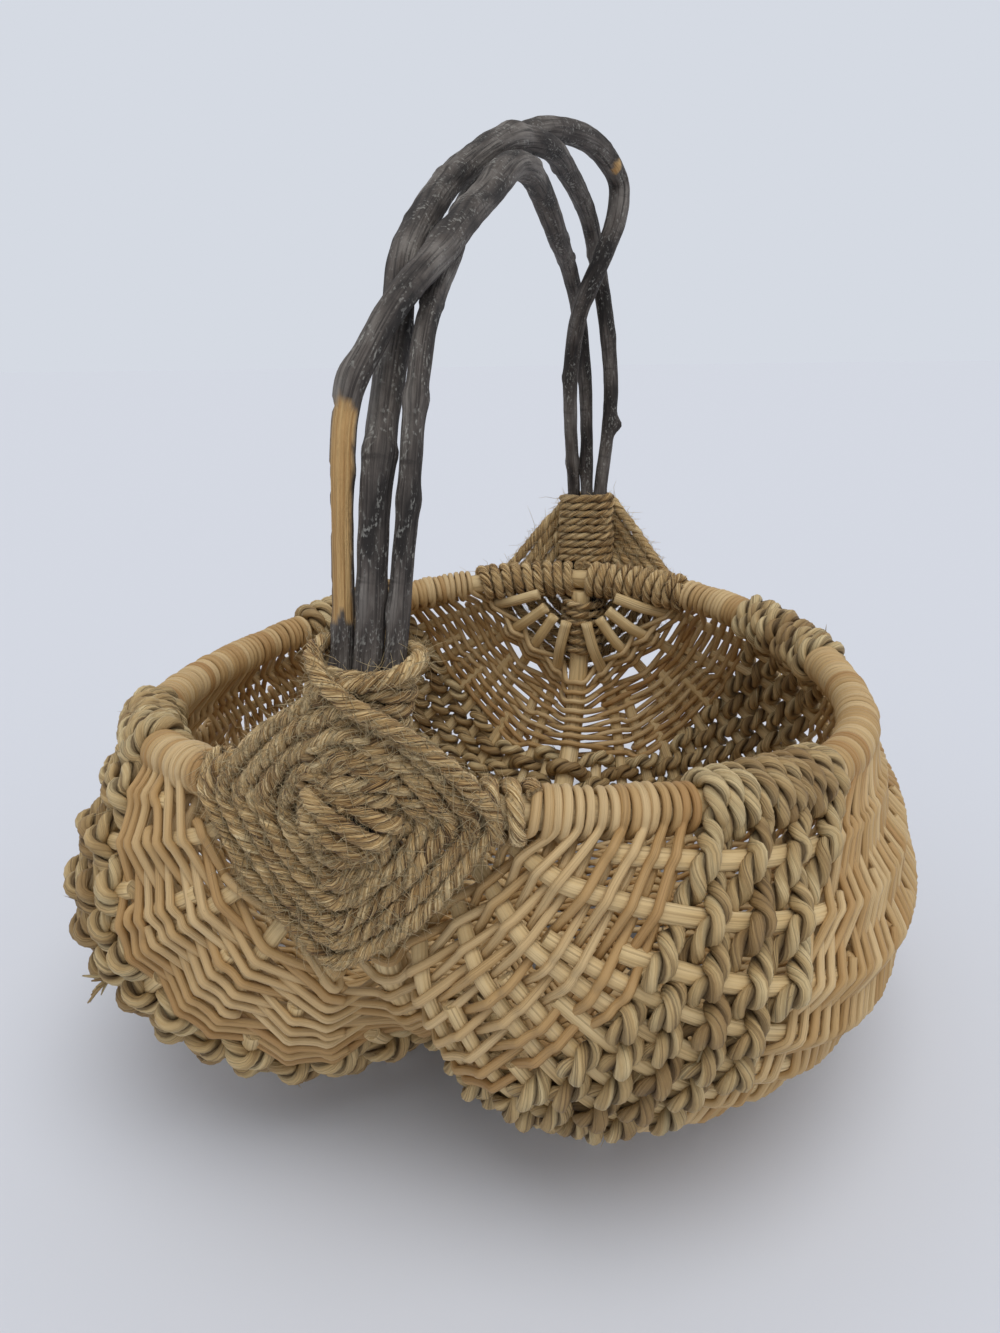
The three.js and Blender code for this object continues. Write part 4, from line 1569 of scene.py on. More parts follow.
FRONT_EYE = Eye(
    "front", 1.0, 5.85, steps=(5.15 * MM, 4.98 * MM, 5.54 * MM, 6.27 * MM), bows=(0.125, 0.125),
    shift=(0.4 * MM, 4.2 * MM), lean=4.8 * MM, foot_skew=-5 * MM, wrap_ends=(37 * MM, 41 * MM),
    seeds=(31, 3),
)
REAR_EYE = Eye(
    "rear", -1.0, 6.85, steps=(4.7 * MM, 5.52 * MM, 5.87 * MM, 5.16 * MM), bows=(0.02, 0.17),
    shift=(0.0, 0.3 * MM), lean=0.0, foot_skew=0.0, wrap_ends=(45 * MM, 42 * MM),
    seeds=(32, 5),
)


@dataclass
class CordLashing:
    """One lashing: jute wound round the crossing of hoop, keel and branch feet."""

    form: BasketForm
    eye: Eye
    cord_radius: float = 2.25 * MM
    first_round: float = 1.0
    strap_lift: float = 1.15
    hoop_lift: float = 0.95
    neck_edge: float = 0.9
    bow_fade: float = 0.4
    neck_half_width: float = 8.8 * MM
    neck_half_depth: float = 3.3 * MM
    neck_start: float = 8.5 * MM
    neck_top: float = 34.4 * MM
    neck_turns: int = 9
    branch_y: float = 122.6 * MM
    tail_length: float = 34 * MM
    tail_lean: float = 4.4 * MM
    foot_ease: float = 42 * MM
    foot_turns: float = 6.5
    foot_start: float = 7 * MM
    under_radius: float = 1.75 * MM
    under_bite: float = 0.9
    under_samples: int = 20
    rim_wrap_start: float = 1.5 * MM
    rim_wrap_pitch: float = 4.4 * MM
    rim_cord_radius: float = 2.15 * MM
    rim_bite: float = 0.85
    rim_samples: int = 14
    lay: float = 10.8 * MM
    swing: float = 0.7
    swell: float = 0.24
    spacing: float = 0.95 * MM
    ply_sides: int = 7
    diamond_hairs: int = 4600
    cross_hairs: int = 90
    under_hairs: int = 420
    hair_length: Pair = (1.6, 5.0)

    def neck(self, height: float) -> Array:
        """Middle of the three branches at a height above the rim: x, distance out, height."""
        part = (height - self.neck_start) / (self.neck_top - self.neck_start)
        start, top = self.eye.shift
        return np.array([start + (top - start) * part, self.branch_y - self.eye.lean * part, height])

    def arm(self, which: int, reach: float) -> tuple[Array, Array, float, float]:
        """The arm that a round of cord passes over.

        Args:
            which: 0 is the neck, 1 the right of the hoop, 2 the foot, 3 the left.
            reach: Distance from the crossing.

        Returns:
            Its centre, the direction across it, its half width and its half depth.
        """
        if which == 0:
            return self.neck(reach), np.array([1.0, 0, 0]), self.neck_half_width, self.neck_half_depth
        if which == 2:
            lean = self.tail_lean * float(smooth(reach / self.foot_ease))
            skew = self.eye.foot_skew * reach / self.tail_length
            centre = np.array([skew, self.branch_y - lean, -reach])
            return centre, np.array([-1.0, 0, 0]), self.neck_half_width, self.neck_half_depth
        angle = -acos(reach / self.form.rim_half_width)
        hoop = self.form.point(1.0, 0.0, angle)
        side = 1.0 if which == 1 else -1.0
        centre = np.array([side * reach, abs(hoop[1]), hoop[2] - self.form.rim_height])
        return centre, np.array([0, 0, -side]), self.form.hoop_radius, self.form.hoop_radius

    def world(self, points: Array) -> Array:
        """Turns x, distance out and height above the rim into places in the frame."""
        points = np.asarray(points, float)
        return np.stack([
            points[:, 0], -self.eye.end * points[:, 1], self.form.rim_height + points[:, 2]
        ], axis=1)

    def diamond(self) -> Array:
        """The rounds of the diamond, bent over each arm in turn; the front one ends in a high loop.

        Returns:
            Control points with a thickness column.
        """
        chance = Random(self.eye.seeds[0])
        out = np.array([0, 1.0, 0])
        line: list[Array] = []
        leave: Array | None = None
        quarters = int(self.eye.rounds * 4) + 1
        for quarter in range(quarters):
            which = quarter % 4
            reach = self.eye.steps[which] * (self.first_round + quarter / 4)
            centre, across, wide, deep = self.arm(which, reach)
            lift = self.strap_lift if which in (0, 2) else self.hoop_lift
            front = centre + out * (deep + self.cord_radius * lift)
            spread = which == 0 and self.eye.end < 0
            edge = across * wide * self.neck_edge if spread else across * 0.0
            front = front - edge
            if leave is not None:
                bow = self.eye.bows[which // 2] * (1.0 - self.bow_fade * quarter / quarters)
                middle = (leave + front) / 2
                away = unit(np.array([middle[0], 0.0, middle[2]])) * np.linalg.norm(front - leave)
                for part in (0.2, 0.4, 0.6, 0.8):
                    spot = leave + (front - leave) * part + away * bow * 4.0 * part * (1.0 - part)
                    spot = spot + np.array([chance.uniform(-0.45, 0.45), chance.uniform(-0.2, 0.6),
                                            chance.uniform(-0.45, 0.45)]) * MM
                    line.append(np.append(spot, chance.uniform(0.95, 1.04)))
            if which == 0 and self.eye.end > 0 and quarter + 4 >= quarters:
                line += self.horns(reach)
            elif spread:
                line += [np.append(front + edge * part, 0.95) for part in (0.0, 1.0, 2.0)]
            else:
                line.append(np.append(front, 0.93))
            leave = line[-1][:3]
        last, across, wide, deep = self.arm(which, reach)
        line.append(np.append(last + across * (wide + 2 * MM), 0.9))
        line.append(np.append(last - out * deep, 0.8))
        points = np.array(line)
        return np.hstack([self.world(points[:, :3]), points[:, 3:]])

    def horns(self, height: float) -> list[Array]:
        """The last loop on the neck: over the front, up and round the back, and over itself.

        Args:
            height: Where the loop comes to the neck, above the rim.

        Returns:
            Control points with a thickness column.
        """
        side = self.neck_half_width + 0.75 * self.cord_radius
        front = self.neck_half_depth + self.cord_radius
        turns = (
            (-0.85, front + 0.2 * MM, -1.5), (0.0, front + 0.6 * MM, 0.0), (0.7, front + 0.3 * MM, 1.6),
            (1.05, 0.55 * front, 3.6), (1.0, -0.5 * front, 4.6), (0.4, -front, 4.8), (-0.5, -front, 5.2),
            (-1.02, -0.5 * front, 6.0), (-1.1, 0.5 * front, 5.6), (-0.8, front + 1.2 * MM, 2.6),
            (-0.25, front + 3.6 * MM, -1.0), (0.35, front + 3.4 * MM, -4.4),
        )
        spots = []
        for across, out, rise in turns:
            spot = self.neck(height + rise * MM)
            spot[0] += across * side
            spot[1] += out
            spots.append(np.append(spot, 1.0))
        return spots

    def centre_cross(self) -> list[Array]:
        """Slanting strands over the middle of the diamond, each a low arch."""
        front = self.branch_y + self.neck_half_depth + self.cord_radius
        lines = []
        strands = ((-2.3, 8.5, 0.8), (2.3, 10.0, 1.4), (-6.2, 8.0, -1.4), (6.2, 10.0, -1.2))
        arch = ((-1.0, -3.2), (-0.72, 0.2), (-0.3, 0.95), (0.3, 1.0), (0.72, 0.2), (1.0, -3.2))
        for gap, length, height in strands:
            half, rise = length * MM, height * MM
            shift = np.array([0.52, 0.0, 0.85]) * gap * MM
            run = np.array([0.86, 0.0, -0.5])
            spots = []
            for share, lift in arch:
                spot = shift + run * half * share
                spot[1] = front + rise + lift * MM * 0.9
                spots.append(spot)
            lines.append(self.world(np.array(spots)))
        return lines

    def rim_underlay(self, side: float) -> Array:
        """Close turns of cord on the hoop under the diamond's loops."""
        last = self.eye.wrap_ends[0 if side > 0 else 1]
        turns = (last - self.rim_wrap_start) / self.rim_wrap_pitch
        count = int(turns * self.rim_samples)
        x = np.linspace(self.rim_wrap_start, last, count)
        angle = -np.arccos(x / self.form.rim_half_width) * self.eye.end
        points, _, lift, out = self.form.hoop(side, angle)
        turn = np.linspace(0.0, FULL_TURN * turns, count)[:, None]
        reach = self.form.hoop_radius + self.rim_cord_radius * self.rim_bite
        return points + (np.cos(turn) * lift + np.sin(turn) * out) * reach

    def neck_underlay(self) -> Array:
        """Close turns of cord round the three branches above the crossing."""
        count = self.neck_turns * self.under_samples
        low = self.neck_start * 0.7
        half = self.neck_half_width - self.neck_half_depth
        reach = self.neck_half_depth + self.under_radius * self.under_bite
        spots = []
        for index in range(count + 1):
            height = low + (self.neck_top - low) * index / count
            turn = FULL_TURN * self.neck_turns * index / count
            centre = self.neck(height)
            squeeze = copysign(min(1.0, abs(cos(turn)) * 2.2), cos(turn))
            centre[0] += squeeze * half + reach * cos(turn)
            centre[1] += reach * sin(turn)
            spots.append(centre)
        return self.world(np.array(spots))

    def foot_underlay(self) -> Array:
        """Close turns of cord round the branch tails and the keel under the crossing."""
        count = int(self.foot_turns * self.under_samples)
        reach = self.under_radius * self.under_bite
        spots = []
        for index in range(count + 1):
            drop = self.foot_start + (self.tail_length - 2 * MM - self.foot_start) * index / count
            turn = FULL_TURN * self.foot_turns * index / count
            centre, _, wide, deep = self.arm(2, drop)
            cosine = (drop / self.form.keel_depth) ** (1.0 / self.form.keel_fullness)
            keel = self.form.keel_line(np.array([acos(cosine)]))[0]
            outer = centre[1] + deep
            inner = keel[1] - self.form.keel_radius
            sideways = 0.5 + 0.5 * sin(turn)
            middle = centre[0] * sideways
            half = self.form.keel_radius + (wide - self.form.keel_radius) * sideways + reach
            spots.append([
                middle + half * cos(turn),
                (outer + inner) / 2 + ((outer - inner) / 2 + reach) * sin(turn),
                -drop,
            ])
        return self.world(np.array(spots))

    def add_cord(self, bundle: Bundle, line: Array, radius: float, plies: int, seed: int) -> None:
        """Adds a twisted cord along a line.

        Args:
            bundle: Where the plies go.
            line: Control points, with a thickness column or without.
            radius: Outer radius of the cord.
            plies: Number of plies.
            seed: Source of its unevenness.
        """
        if line.shape[1] == 3:
            line = np.hstack([line, np.ones((len(line), 1))])
        path = even_steps(flowing_line(line, 6), self.spacing)
        points, thick = path[:, :3], path[:, 3]
        tangents, normals = carried_normals(points)
        across = np.cross(normals, tangents)
        length = run_length(points)
        ply_radius = radius * (0.65 if plies == 3 else 0.68)
        # Painted shade on the inner side of each ply, where the plies meet.
        painted_ply_shade = smooth(shorter_way(ring_angles(self.ply_sides)[None, :]) - 1.2) * np.ones((len(points), 1))
        offset = radius - ply_radius
        for ply in range(plies):
            swing = wobble(length, 60.0, ply * 5.0, seed)
            angle = FULL_TURN * (length / self.lay + ply / plies) + swing * self.swing
            radial = off_line(angle, normals, across)
            swell = wobble(length, 170.0, ply * 3.0, seed + 1.7)
            centre = points + radial * (offset * thick)[:, None]
            radii = ply_radius * thick * (1.0 + self.swell * swell)
            tone = 0.5 + 0.5 * swing
            strand = Strand.along(centre, radii, self.ply_sides, tone, radial)
            bundle.add(replace(strand, painted_shade_and_bare=painted_ply_shade))

    def add_hairs(self, bundle: Bundle, line: Array, count: int, radius: float, seed: int) -> None:
        """Adds loose fibres that stand off a cord.

        Args:
            bundle: Where the fibres go.
            line: The cord's control points.
            count: Number of fibres.
            radius: Radius of the cord.
            seed: Source of their places.
        """
        chance = Random(seed)
        points = even_steps(flowing_line(line[:, :3], 6), 1.0 * MM)
        tangents, normals = carried_normals(points)
        across = np.cross(normals, tangents)
        width = np.array([0.1, 0.09, 0.07, 0.03]) * MM
        for _ in range(count):
            at = chance.randrange(2, len(points) - 2)
            turn = chance.uniform(0.0, FULL_TURN)
            out = normals[at] * cos(turn) + across[at] * sin(turn)
            size = chance.uniform(*self.hair_length) * MM * (1.9 if chance.random() < 0.1 else 1.0)
            run = tangents[at] * chance.choice((-1.0, 1.0)) * chance.uniform(0.3, 1.0)
            run = run + np.cross(tangents[at], out) * chance.uniform(-0.9, 0.9)
            curl = across[at] * chance.uniform(-0.6, 0.6) - UP * chance.uniform(0.0, 0.3)
            start = points[at] + out * radius * 0.85
            spots = [
                start + (run * part + out * chance.uniform(0.05, 0.6) * part**1.3 + curl * part**2) * size
                for part in (0.0, 0.35, 0.7, 1.0)
            ]
            bundle.add(Strand.along(np.array(spots), width, 3, chance.uniform(0.6, 1.8)))

    def build(self, material: Material) -> list[Piece]:
        """Winds the lashing.

        Args:
            material: Finish of the twine.

        Returns:
            The cord and its loose fibres.
        """
        name, seed = self.eye.name, self.eye.seeds[1]
        cords, fuzz = Bundle(f"{name}_jute_lashing"), Bundle(f"{name}_jute_fibres")
        diamond = self.diamond()
        self.add_cord(cords, diamond, self.cord_radius, 3, seed)
        self.add_hairs(fuzz, diamond, self.diamond_hairs, self.cord_radius, seed + 60)
        for number, line in enumerate(self.centre_cross()):
            self.add_cord(cords, line, self.cord_radius, 3, seed + 20 + number)
            self.add_hairs(fuzz, line, self.cross_hairs, self.cord_radius, seed + 70 + number)
        rim = [(self.rim_underlay(side), self.rim_cord_radius, 3) for side in (1.0, -1.0)]
        bound = [(line, self.under_radius, 2) for line in (self.neck_underlay(), self.foot_underlay())]
        for number, (line, radius, plies) in enumerate(rim + bound):
            self.add_cord(cords, line, radius, plies, seed + 40 + number)
            self.add_hairs(fuzz, line, self.under_hairs, self.under_radius, seed + 80 + number)
        nodes = [f"{name}_{kind}_lashing" for kind in ("eye", "neck", "right_rim", "left_rim")]
        return [
            place(cords.build(material), nodes),
            place(fuzz.build(material)),
        ]


@dataclass(frozen=True)
class Knot:
    """A bump on a branch.

    Attributes:
        share: Place along the branch.
        facing: Direction that it faces.
        height: How far it stands out.
        length: Its reach along the branch.
        spread: Its reach round the branch, in radians; a large one makes a ring.
        pale: Whether it is cut, with bare wood.
    """

    share: float
    facing: Triple
    height: float
    length: float
    spread: float = 0.8
    pale: bool = False


@dataclass(frozen=True)
class Peel:
    """A place where a branch has lost its bark.

    Attributes:
        start: Where it starts along the branch.
        end: Where it ends.
        facing: Direction of its middle.
        half_turn: Half its width round the branch, in radians.
    """

    start: float
    end: float
    facing: Triple
    half_turn: float


@dataclass
class HandleBranch:
    """One bark-covered branch of the handle."""

    form: BasketForm
    name: str
    seats: Pair
    route: Sequence[Triple]
    girth: Sequence[float]
    knots: Sequence[Knot] = ()
    peel: Peel | None = None
    sides: int = 28
    spacing: float = 1.4 * MM
    seed: float = 0.0
    node_gap: float = 46 * MM
    node_height: float = 0.42 * MM
    kink: float = 0.9 * MM
    held_length: float = 75 * MM
    ease_length: float = 30 * MM
    bark_lump: float = 0.09
    bark_grain: float = 0.055

    def line(self) -> Array:
        """Centre line from the front tail to the rear one."""
        front, rear = CordLashing(self.form, FRONT_EYE), CordLashing(self.form, REAR_EYE)
        front_seat, rear_seat = (seat * MM for seat in self.seats)

        def neck(lashing: CordLashing, seat: float, height: float) -> list[float]:
            """A place in a neck."""
            spot = lashing.neck(height)
            return [spot[0] + seat, -lashing.eye.end * spot[1], self.form.rim_height + height]

        low = self.form.rim_height - front.tail_length
        under = self.form.rim_height - self.form.hoop_radius
        spots = [
            [front_seat + front.eye.foot_skew, front.tail_lean - front.branch_y, low],
            [front_seat, -front.branch_y, under],
            neck(front, front_seat, front.neck_start),
            neck(front, front_seat, front.neck_top),
        ]
        spots += [[x * MM, y * MM, self.form.rim_height + z * MM] for x, y, z in self.route]
        spots += [
            neck(rear, rear_seat, rear.neck_top),
            neck(rear, rear_seat, rear.neck_start),
            [rear_seat, rear.branch_y, under],
            [rear_seat, rear.branch_y - rear.tail_lean, low],
        ]
        line = even_steps(flowing_line(np.array(spots), 30), self.spacing)
        length = run_length(line)
        held = self.held_length
        free = smooth((length - held) / self.ease_length)
        free = free * smooth((length[-1] - held - length) / self.ease_length)
        places = self.node_places(length[-1])
        chance = Random(int(self.seed))
        bends = np.array([[chance.uniform(-1.0, 1.0) for _ in range(3)] for _ in places]) * self.kink
        sway = np.stack([np.interp(length, places, column) for column in bends.T], axis=1)
        return line + sway * free[:, None]

    def node_places(self, total: float) -> Array:
        """Lengths at which side twigs once grew; the branch bends a little there."""
        chance = Random(int(self.seed) + 7)
        count = int(total / self.node_gap)
        gap = total / count
        return np.array([(index + 0.5 + chance.uniform(-0.3, 0.3)) * gap for index in range(count)])

    def build(self, material: Material) -> Piece:
        """Builds the branch with its knots, rough bark and peeled place.

        Args:
            material: Finish of the bark.

        Returns:
            The piece.
        """
        points = self.line()
        length = run_length(points)
        share = length / length[-1]
        tangents, normals = carried_normals(points)
        across = np.cross(normals, tangents)
        radii = np.interp(share, np.linspace(0, 1, len(self.girth)), np.array(self.girth) * MM)
        turn = ring_angles(self.sides)
        rough = self.bark_lump * self.uneven(length, turn, 55.0, 1.0)
        rough += self.bark_grain * self.uneven(length, turn, 190.0, 4.0)
        bare = np.zeros_like(rough)
        chance = Random(int(self.seed) + 21)
        rings = [
            Knot(spot / length[-1], (chance.uniform(-1, 1), chance.uniform(-1, 1), chance.uniform(-1, 1)),
                 self.node_height * chance.uniform(0.7, 1.7), chance.uniform(1.6, 3.2) * MM,
                 chance.choice((0.9, 1.6, 3.0)))
            for spot in self.node_places(length[-1])
        ]
        for knot in (*self.knots, *rings):
            height = self.bump(knot, length, normals, across, turn)
            rough += height / radii[:, None]
            if knot.pale:
                bare = np.maximum(bare, smooth((height / knot.height - 0.55) / 0.15))
        if self.peel:
            strip = self.bared(self.peel, share, normals, across, turn)
            rough = rough * (1.0 - 0.8 * strip) - 0.2 * strip
            bare = np.maximum(bare, strip)
        strand = Strand.along(points, radii, self.sides, 0.0, normals, 1.0 + rough)
        bundle = Bundle(f"{self.name}_bark_branch")
        bundle.add(replace(strand, painted_shade_and_bare=bare))
        piece = bundle.build(material)
        # A strand has one tone to a ring, so the bare places come to the tone by way of the layer that holds
        # painted shade on the cords.
        layers = piece.data.attributes
        values = np.empty(len(piece.data.vertices), np.float32)
        layers["painted_shade_and_bare"].data.foreach_get("value", values)
        layers["tone"].data.foreach_set("value", values)
        return place(piece, [f"handle_branch_{self.name}"])

    def uneven(self, length: Array, turn: Array, along: float, around: float) -> Array:
        """Noise at each point of each ring, in steps along to a metre and around to a radian."""
        places = [(cos(angle) * around, sin(angle) * around) for angle in turn]
        return np.array([
            [noise.noise(Vector((x, y, spot * along + self.seed))) for x, y in places] for spot in length
        ])

    @staticmethod
    def facing(way: Triple, normals: Array, across: Array, turn: Array) -> Array:
        """Angle between each point of each ring and a direction, seen along the branch."""
        way = np.asarray(way, float)
        middle = np.arctan2(across @ way, normals @ way)
        return shorter_way(turn[None, :] - middle[:, None])

    def bump(self, knot: Knot, length: Array, normals: Array, across: Array, turn: Array) -> Array:
        """Height of one knot at each point of each ring."""
        along = (length - knot.share * length[-1]) / knot.length
        round_it = self.facing(knot.facing, normals, across, turn) / knot.spread
        return knot.height * np.exp(-(along**2))[:, None] * np.exp(-(round_it**2))

    def bared(self, peel: Peel, share: Array, normals: Array, across: Array, turn: Array) -> Array:
        """Share of bare wood at each point of each ring, with ragged edges."""
        away = self.facing(peel.facing, normals, across, turn)
        ragged = np.array([
            [noise.noise(Vector((s * 150.0, cos(t) * 1.5, sin(t) * 1.5))) for t in turn]
            for s in share
        ])
        sides = smooth((peel.half_turn + 0.25 * ragged - away) / 0.12)
        low = smooth(((share - peel.start)[:, None] + 0.006 * ragged) / 0.003)
        high = smooth(((peel.end - share)[:, None] + 0.006 * ragged) / 0.003)
        return sides * low * high


@dataclass
class Studio:
    """Floor, soft light and the camera at the photograph's angle."""

    position: tuple = (91.27 * MM, -310.72 * MM, 218.45 * MM)
    right: tuple = (0.95900, 0.28275, -0.01918)
    up: tuple = (-0.06737, 0.29316, 0.95369)
    forward: tuple = (-0.27528, 0.91330, -0.30019)
    focal_pixels: float = 1044.1
    sensor: float = 36.0
    nearest: float = 10 * MM
    floor_size: float = 8.0
    aim: tuple = (0.0, 0.0, 0.1)

    def camera(self) -> None:
        """Makes the camera."""
        data = bpy.data.cameras.new("photo_camera")
        data.sensor_fit = "AUTO"
        data.sensor_width = self.sensor
        data.lens = self.focal_pixels * self.sensor / PHOTO_HEIGHT
        data.clip_start = self.nearest
        camera = shown("photo_camera", data)
        turn = Matrix((self.right, self.up, [-v for v in self.forward])).transposed().to_4x4()
        camera.matrix_world = Matrix.Translation(self.position) @ turn
        bpy.context.scene.camera = camera

    def floor(self, material: Material) -> None:
        """Makes the table as one flat sheet.

        Args:
            material: Finish of the sheet.
        """
        sheet = bmesh.new()
        bmesh.ops.create_grid(sheet, x_segments=2, y_segments=2, size=self.floor_size)
        mesh = bpy.data.meshes.new("pale_floor")
        sheet.to_mesh(mesh)
        sheet.free()
        mesh.materials.append(material)
        floor = shown("pale_floor", mesh)

    def lamp(self, name: str, place_at: Triple, spread: float, strength: float, colour: Triple) -> None:
        """Adds a broad even lamp that faces the basket from afar.

        Args:
            name: Name of the lamp.
            place_at: Direction that it shines from.
            spread: Width of its disc in the sky, in radians.
            strength: Its light on a surface that faces it.
            colour: Its colour.
        """
        data = bpy.data.lights.new(name, "SUN")
        data.angle = spread
        data.energy = strength
        data.color = colour
        lamp = shown(name, data)
        lamp.location = place_at
        aim = Vector(self.aim) - Vector(place_at)
        lamp.rotation_euler = aim.to_track_quat("-Z", "Y").to_euler()

    def light(self) -> None:
        """Sets the lamps and the pale surroundings."""
        self.lamp("overhead_soft", (0.35, -0.45, 1.7), 0.8, 1.22, (1.0, 0.985, 0.96))
        self.lamp("front_fill", (0.6, -1.5, 0.9), 1.6, 0.38, (1.0, 0.99, 0.97))
        world = bpy.data.worlds.new("pale_room")
        bpy.context.scene.world = world
        world.use_nodes = True
        nodes, links = world.node_tree.nodes, world.node_tree.links
        back = nodes["Background"]
        back.inputs["Color"].default_value = (0.9, 0.93, 0.98, 1.0)
        back.inputs["Strength"].default_value = 0.6
        seen = nodes.new("ShaderNodeBackground")
        seen.inputs["Color"].default_value = tint(213, 218, 227)
        seen.inputs["Strength"].default_value = 1.0
        rays = nodes.new("ShaderNodeLightPath")
        mix = nodes.new("ShaderNodeMixShader")
        links.new(rays.outputs["Is Camera Ray"], mix.inputs[0])
        links.new(back.outputs[0], mix.inputs[1])
        links.new(seen.outputs[0], mix.inputs[2])
        links.new(mix.outputs[0], nodes["World Output"].inputs["Surface"])
        bpy.context.scene.view_settings.view_transform = "Standard"


ALL_WARPS = tuple(range(1, 26))
LONG_WARPS = (2, 5, 8, 11, 13, 15, 18, 21, 24)
OUTER_WARPS = (1, 2, 4, 5, 7, 8, 10, 11, 13, 15, 16, 18, 19, 21, 22, 24, 25)
REED_MARK = FORM.reed_end
GRASS_MARK = FORM.grass_end
SHORT_MARK = 0.84


def bands() -> list[WovenBand]:
    """The woven bands, from the front to the rear; reed next to a lashing passes only the long ribs."""
    rope = {"weaver": Weaver.SEAGRASS, "thickness": 5.0 * MM, "spacing": 0.85 * MM, "slack": 0.12, "rows": 7}
    stout = {"thickness": 2.35 * MM, "pitch": 2.1 * MM}
    under_eye = EdgeShift(10.5 * MM, 4 * MM, 10 * MM, 14 * MM, 6 * MM)
    return [
        WovenBand(FORM, "front_inner_reed_rows", "front_reed_weave", -1.0, -SHORT_MARK,
                  LONG_WARPS, 1, start=under_eye, stop=EdgeShift(right_rim=-5.6 * MM),
                  least=4, steady=True, **stout),
        WovenBand(FORM, "front_outer_reed_rows", "front_reed_weave", -SHORT_MARK, -REED_MARK,
                  OUTER_WARPS, 6, start=EdgeShift(right_rim=5.6 * MM),
                  stop=EdgeShift(right_rim=-2 * MM, right=4 * MM), honey=(0.6, 1.0),
                  least=4, steady=True, paired=True, **stout),
        WovenBand(FORM, "front_seagrass_rows", "front_seagrass_weave",
                  -REED_MARK, -GRASS_MARK, ALL_WARPS, 2, start=EdgeShift(right=-4 * MM),
                  cut_end=(-80.5 * MM, -107.5 * MM, 56.5 * MM), **rope),
        WovenBand(FORM, "middle_reed_rows", "middle_reed_weave", -GRASS_MARK, GRASS_MARK,
                  ALL_WARPS, 3, pieces=2, stop=sagging(-6, 8)),
        WovenBand(FORM, "rear_seagrass_rows", "rear_seagrass_weave", GRASS_MARK, REED_MARK,
                  ALL_WARPS, 4, start=sagging(6, -8), stop=sagging(-8, 14), **rope),
        WovenBand(FORM, "rear_outer_reed_rows", "rear_reed_weave", REED_MARK, SHORT_MARK,
                  OUTER_WARPS, 7, start=sagging(8, -14), stop=sagging(-8, 7), honey=(0.0, 0.4),
                  least=3, paired=True, **stout),
        WovenBand(FORM, "rear_inner_reed_rows", "rear_reed_weave", SHORT_MARK, 1.0,
                  LONG_WARPS, 5, start=sagging(8, -7), stop=sagging(2, 5), least=3, **stout),
    ]


def sagging(ribs: float, keel: float) -> EdgeShift:
    """An edge that bends evenly round the rear lashing.

    Args:
        ribs: Its shift on the ribs, in millimetres.
        keel: Its shift at the keel, in millimetres.

    Returns:
        The shift, none at the rim.
    """
    return EdgeShift(right=ribs * MM, keel=keel * MM, left=ribs * MM)


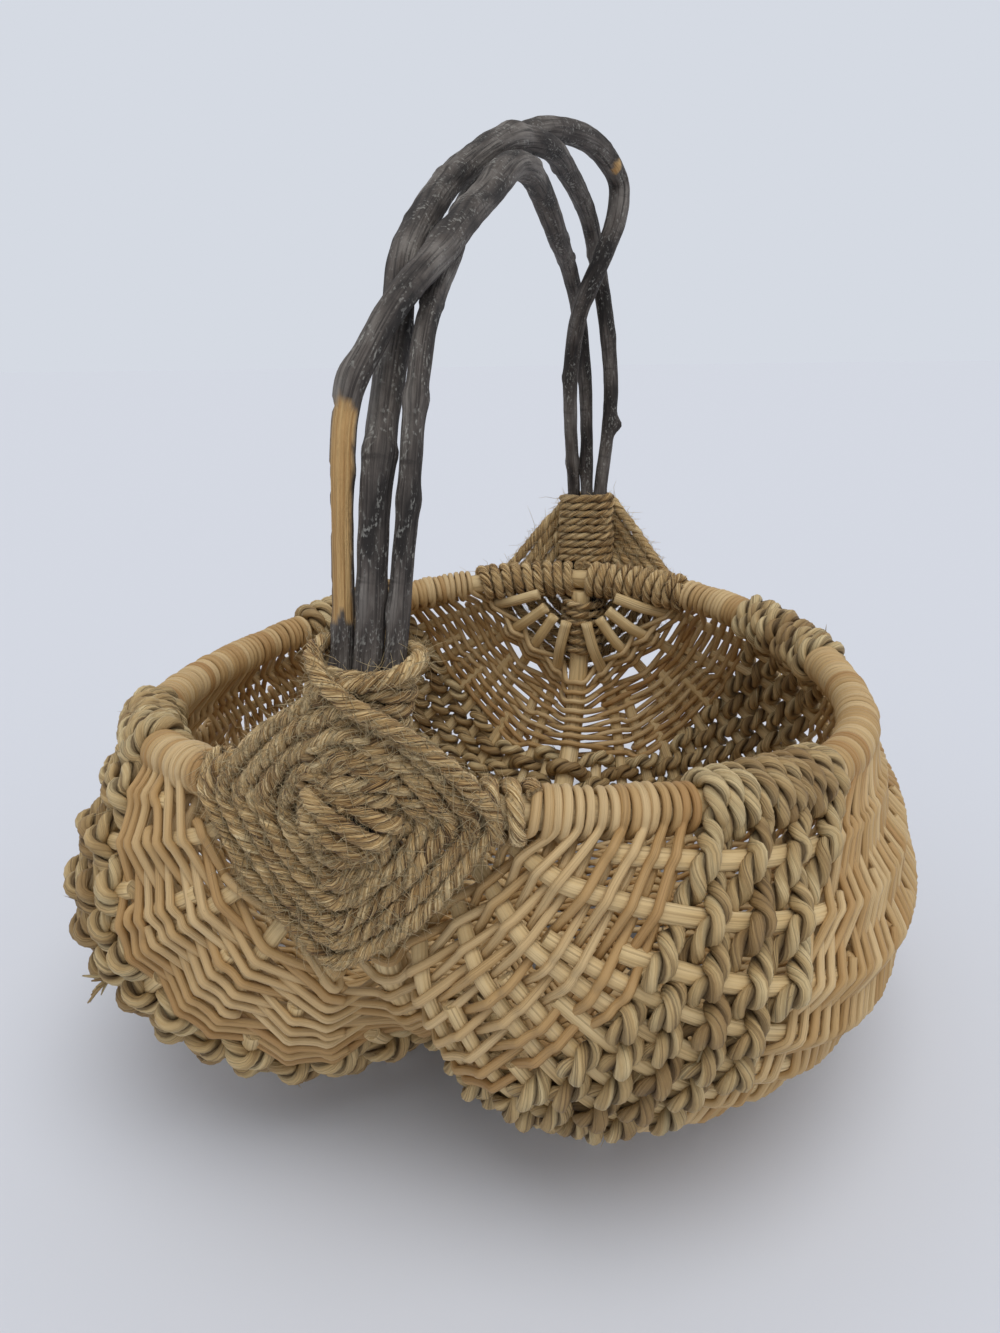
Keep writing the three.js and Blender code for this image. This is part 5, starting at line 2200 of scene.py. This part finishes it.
def branches() -> list[HandleBranch]:
    """The three branches of the handle."""
    left = HandleBranch(
        FORM, "left", (-6, 0),
        [(-1, -110, 85), (2, -103, 97), (4.5, -90, 108), (6, -65, 119.5), (6.5, -36, 132), (6.5, -9, 143),
         (4, 26, 143), (2, 64, 132), (-2, 105, 121), (-2.5, 122, 105), (-0.5, 124, 75)],
        (2.3, 2.4, 2.5, 2.9, 3.6, 4, 3.9, 3.7, 3.2, 2.8, 2.5, 2.4, 2.3),
        knots=(Knot(0.345, (-0.4, -0.8, 0.5), 0.8 * MM, 9 * MM),
               Knot(0.845, (-1, 0, 0), 0.9 * MM, 5 * MM, 1.6),
               Knot(0.244, (-0.7, -0.7, 0.1), 1.1 * MM, 5 * MM, 1.3),
               Knot(0.43, (0, -0.6, 0.8), 0.9 * MM, 6 * MM)),
        peel=Peel(0.15, 0.234, (-0.1, -0.99, 0.0), 1.5), seed=2.0,
    )
    centre = HandleBranch(
        FORM, "centre", (0, 5.7),
        [(5, -110, 72), (2, -93, 92), (0, -82, 102), (-2, -72.5, 114.5), (-3.5, -53, 126.5),
         (-4, -21.5, 140.5), (-0.5, 14.5, 153), (5, 39, 154), (5, 78, 149), (4, 114, 137), (6, 122, 116),
         (9, 124, 80), (8, 123, 56)],
        (3, 3.2, 3.2, 3.5, 3.8, 3.9, 3.9, 3.7, 3.4, 3.1, 2.7, 2.6, 2.5),
        knots=(Knot(0.205, (0.6, -0.8, 0), 0.9 * MM, 4.5 * MM, 1.3),
               Knot(0.487, (0, -0.3, 1), 1.2 * MM, 5 * MM, 2.2),
               Knot(0.818, (1, 0.1, -0.2), 2.8 * MM, 3 * MM, 0.55)), seed=17.0,
    )
    right = HandleBranch(
        FORM, "right", (6.1, -5.5),
        [(11, -106, 76), (9, -92, 96), (6, -74, 107), (2, -50, 117), (-5, -20, 129), (-8, 10, 143),
         (-4, 38, 158), (2, 60, 163), (9, 92, 162), (13.5, 112, 152), (13, 110, 140), (8, 104, 124),
         (1.5, 104, 110), (-3.5, 113, 88), (-4.5, 116, 62)],
        (2.1, 2.3, 2.3, 2.5, 2.8, 3.2, 3.6, 4.1, 3.9, 3.2, 2.6, 2.4, 2.2),
        knots=(Knot(0.224, (0, -1, 0), 0.55 * MM, 2.5 * MM, 9.0),
               Knot(0.632, (0.2, -1, 0.1), 1.3 * MM, 3.6 * MM, 0.8, True)),
        seed=33.0,
    )
    return [left, centre, right]


def main() -> None:
    logging.basicConfig(level=logging.INFO, format="%(name)s %(message)s")
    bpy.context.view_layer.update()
    studio = Studio()
    studio.camera()
    studio.light()
    studio.floor(FloorFinish().make())
    reed, seagrass = ReedFinish().make(), SeagrassFinish().make()
    rib, jute, bark = RibFinish().make(), JuteFinish().make(), BarkFinish().make()
    HoopAndKeel(FORM).build(rib)
    for name, side, seed in (("right", 1.0, 11), ("left", -1.0, 12)):
        RibSet(FORM, name, side, seed).build(rib)
    for band in bands():
        band.build(reed if band.weaver is Weaver.REED else seagrass)
    for branch in branches():
        branch.build(bark)
    for eye in (FRONT_EYE, REAR_EYE):
        CordLashing(FORM, eye).build(jute)


if __name__ == "__main__":
    main()
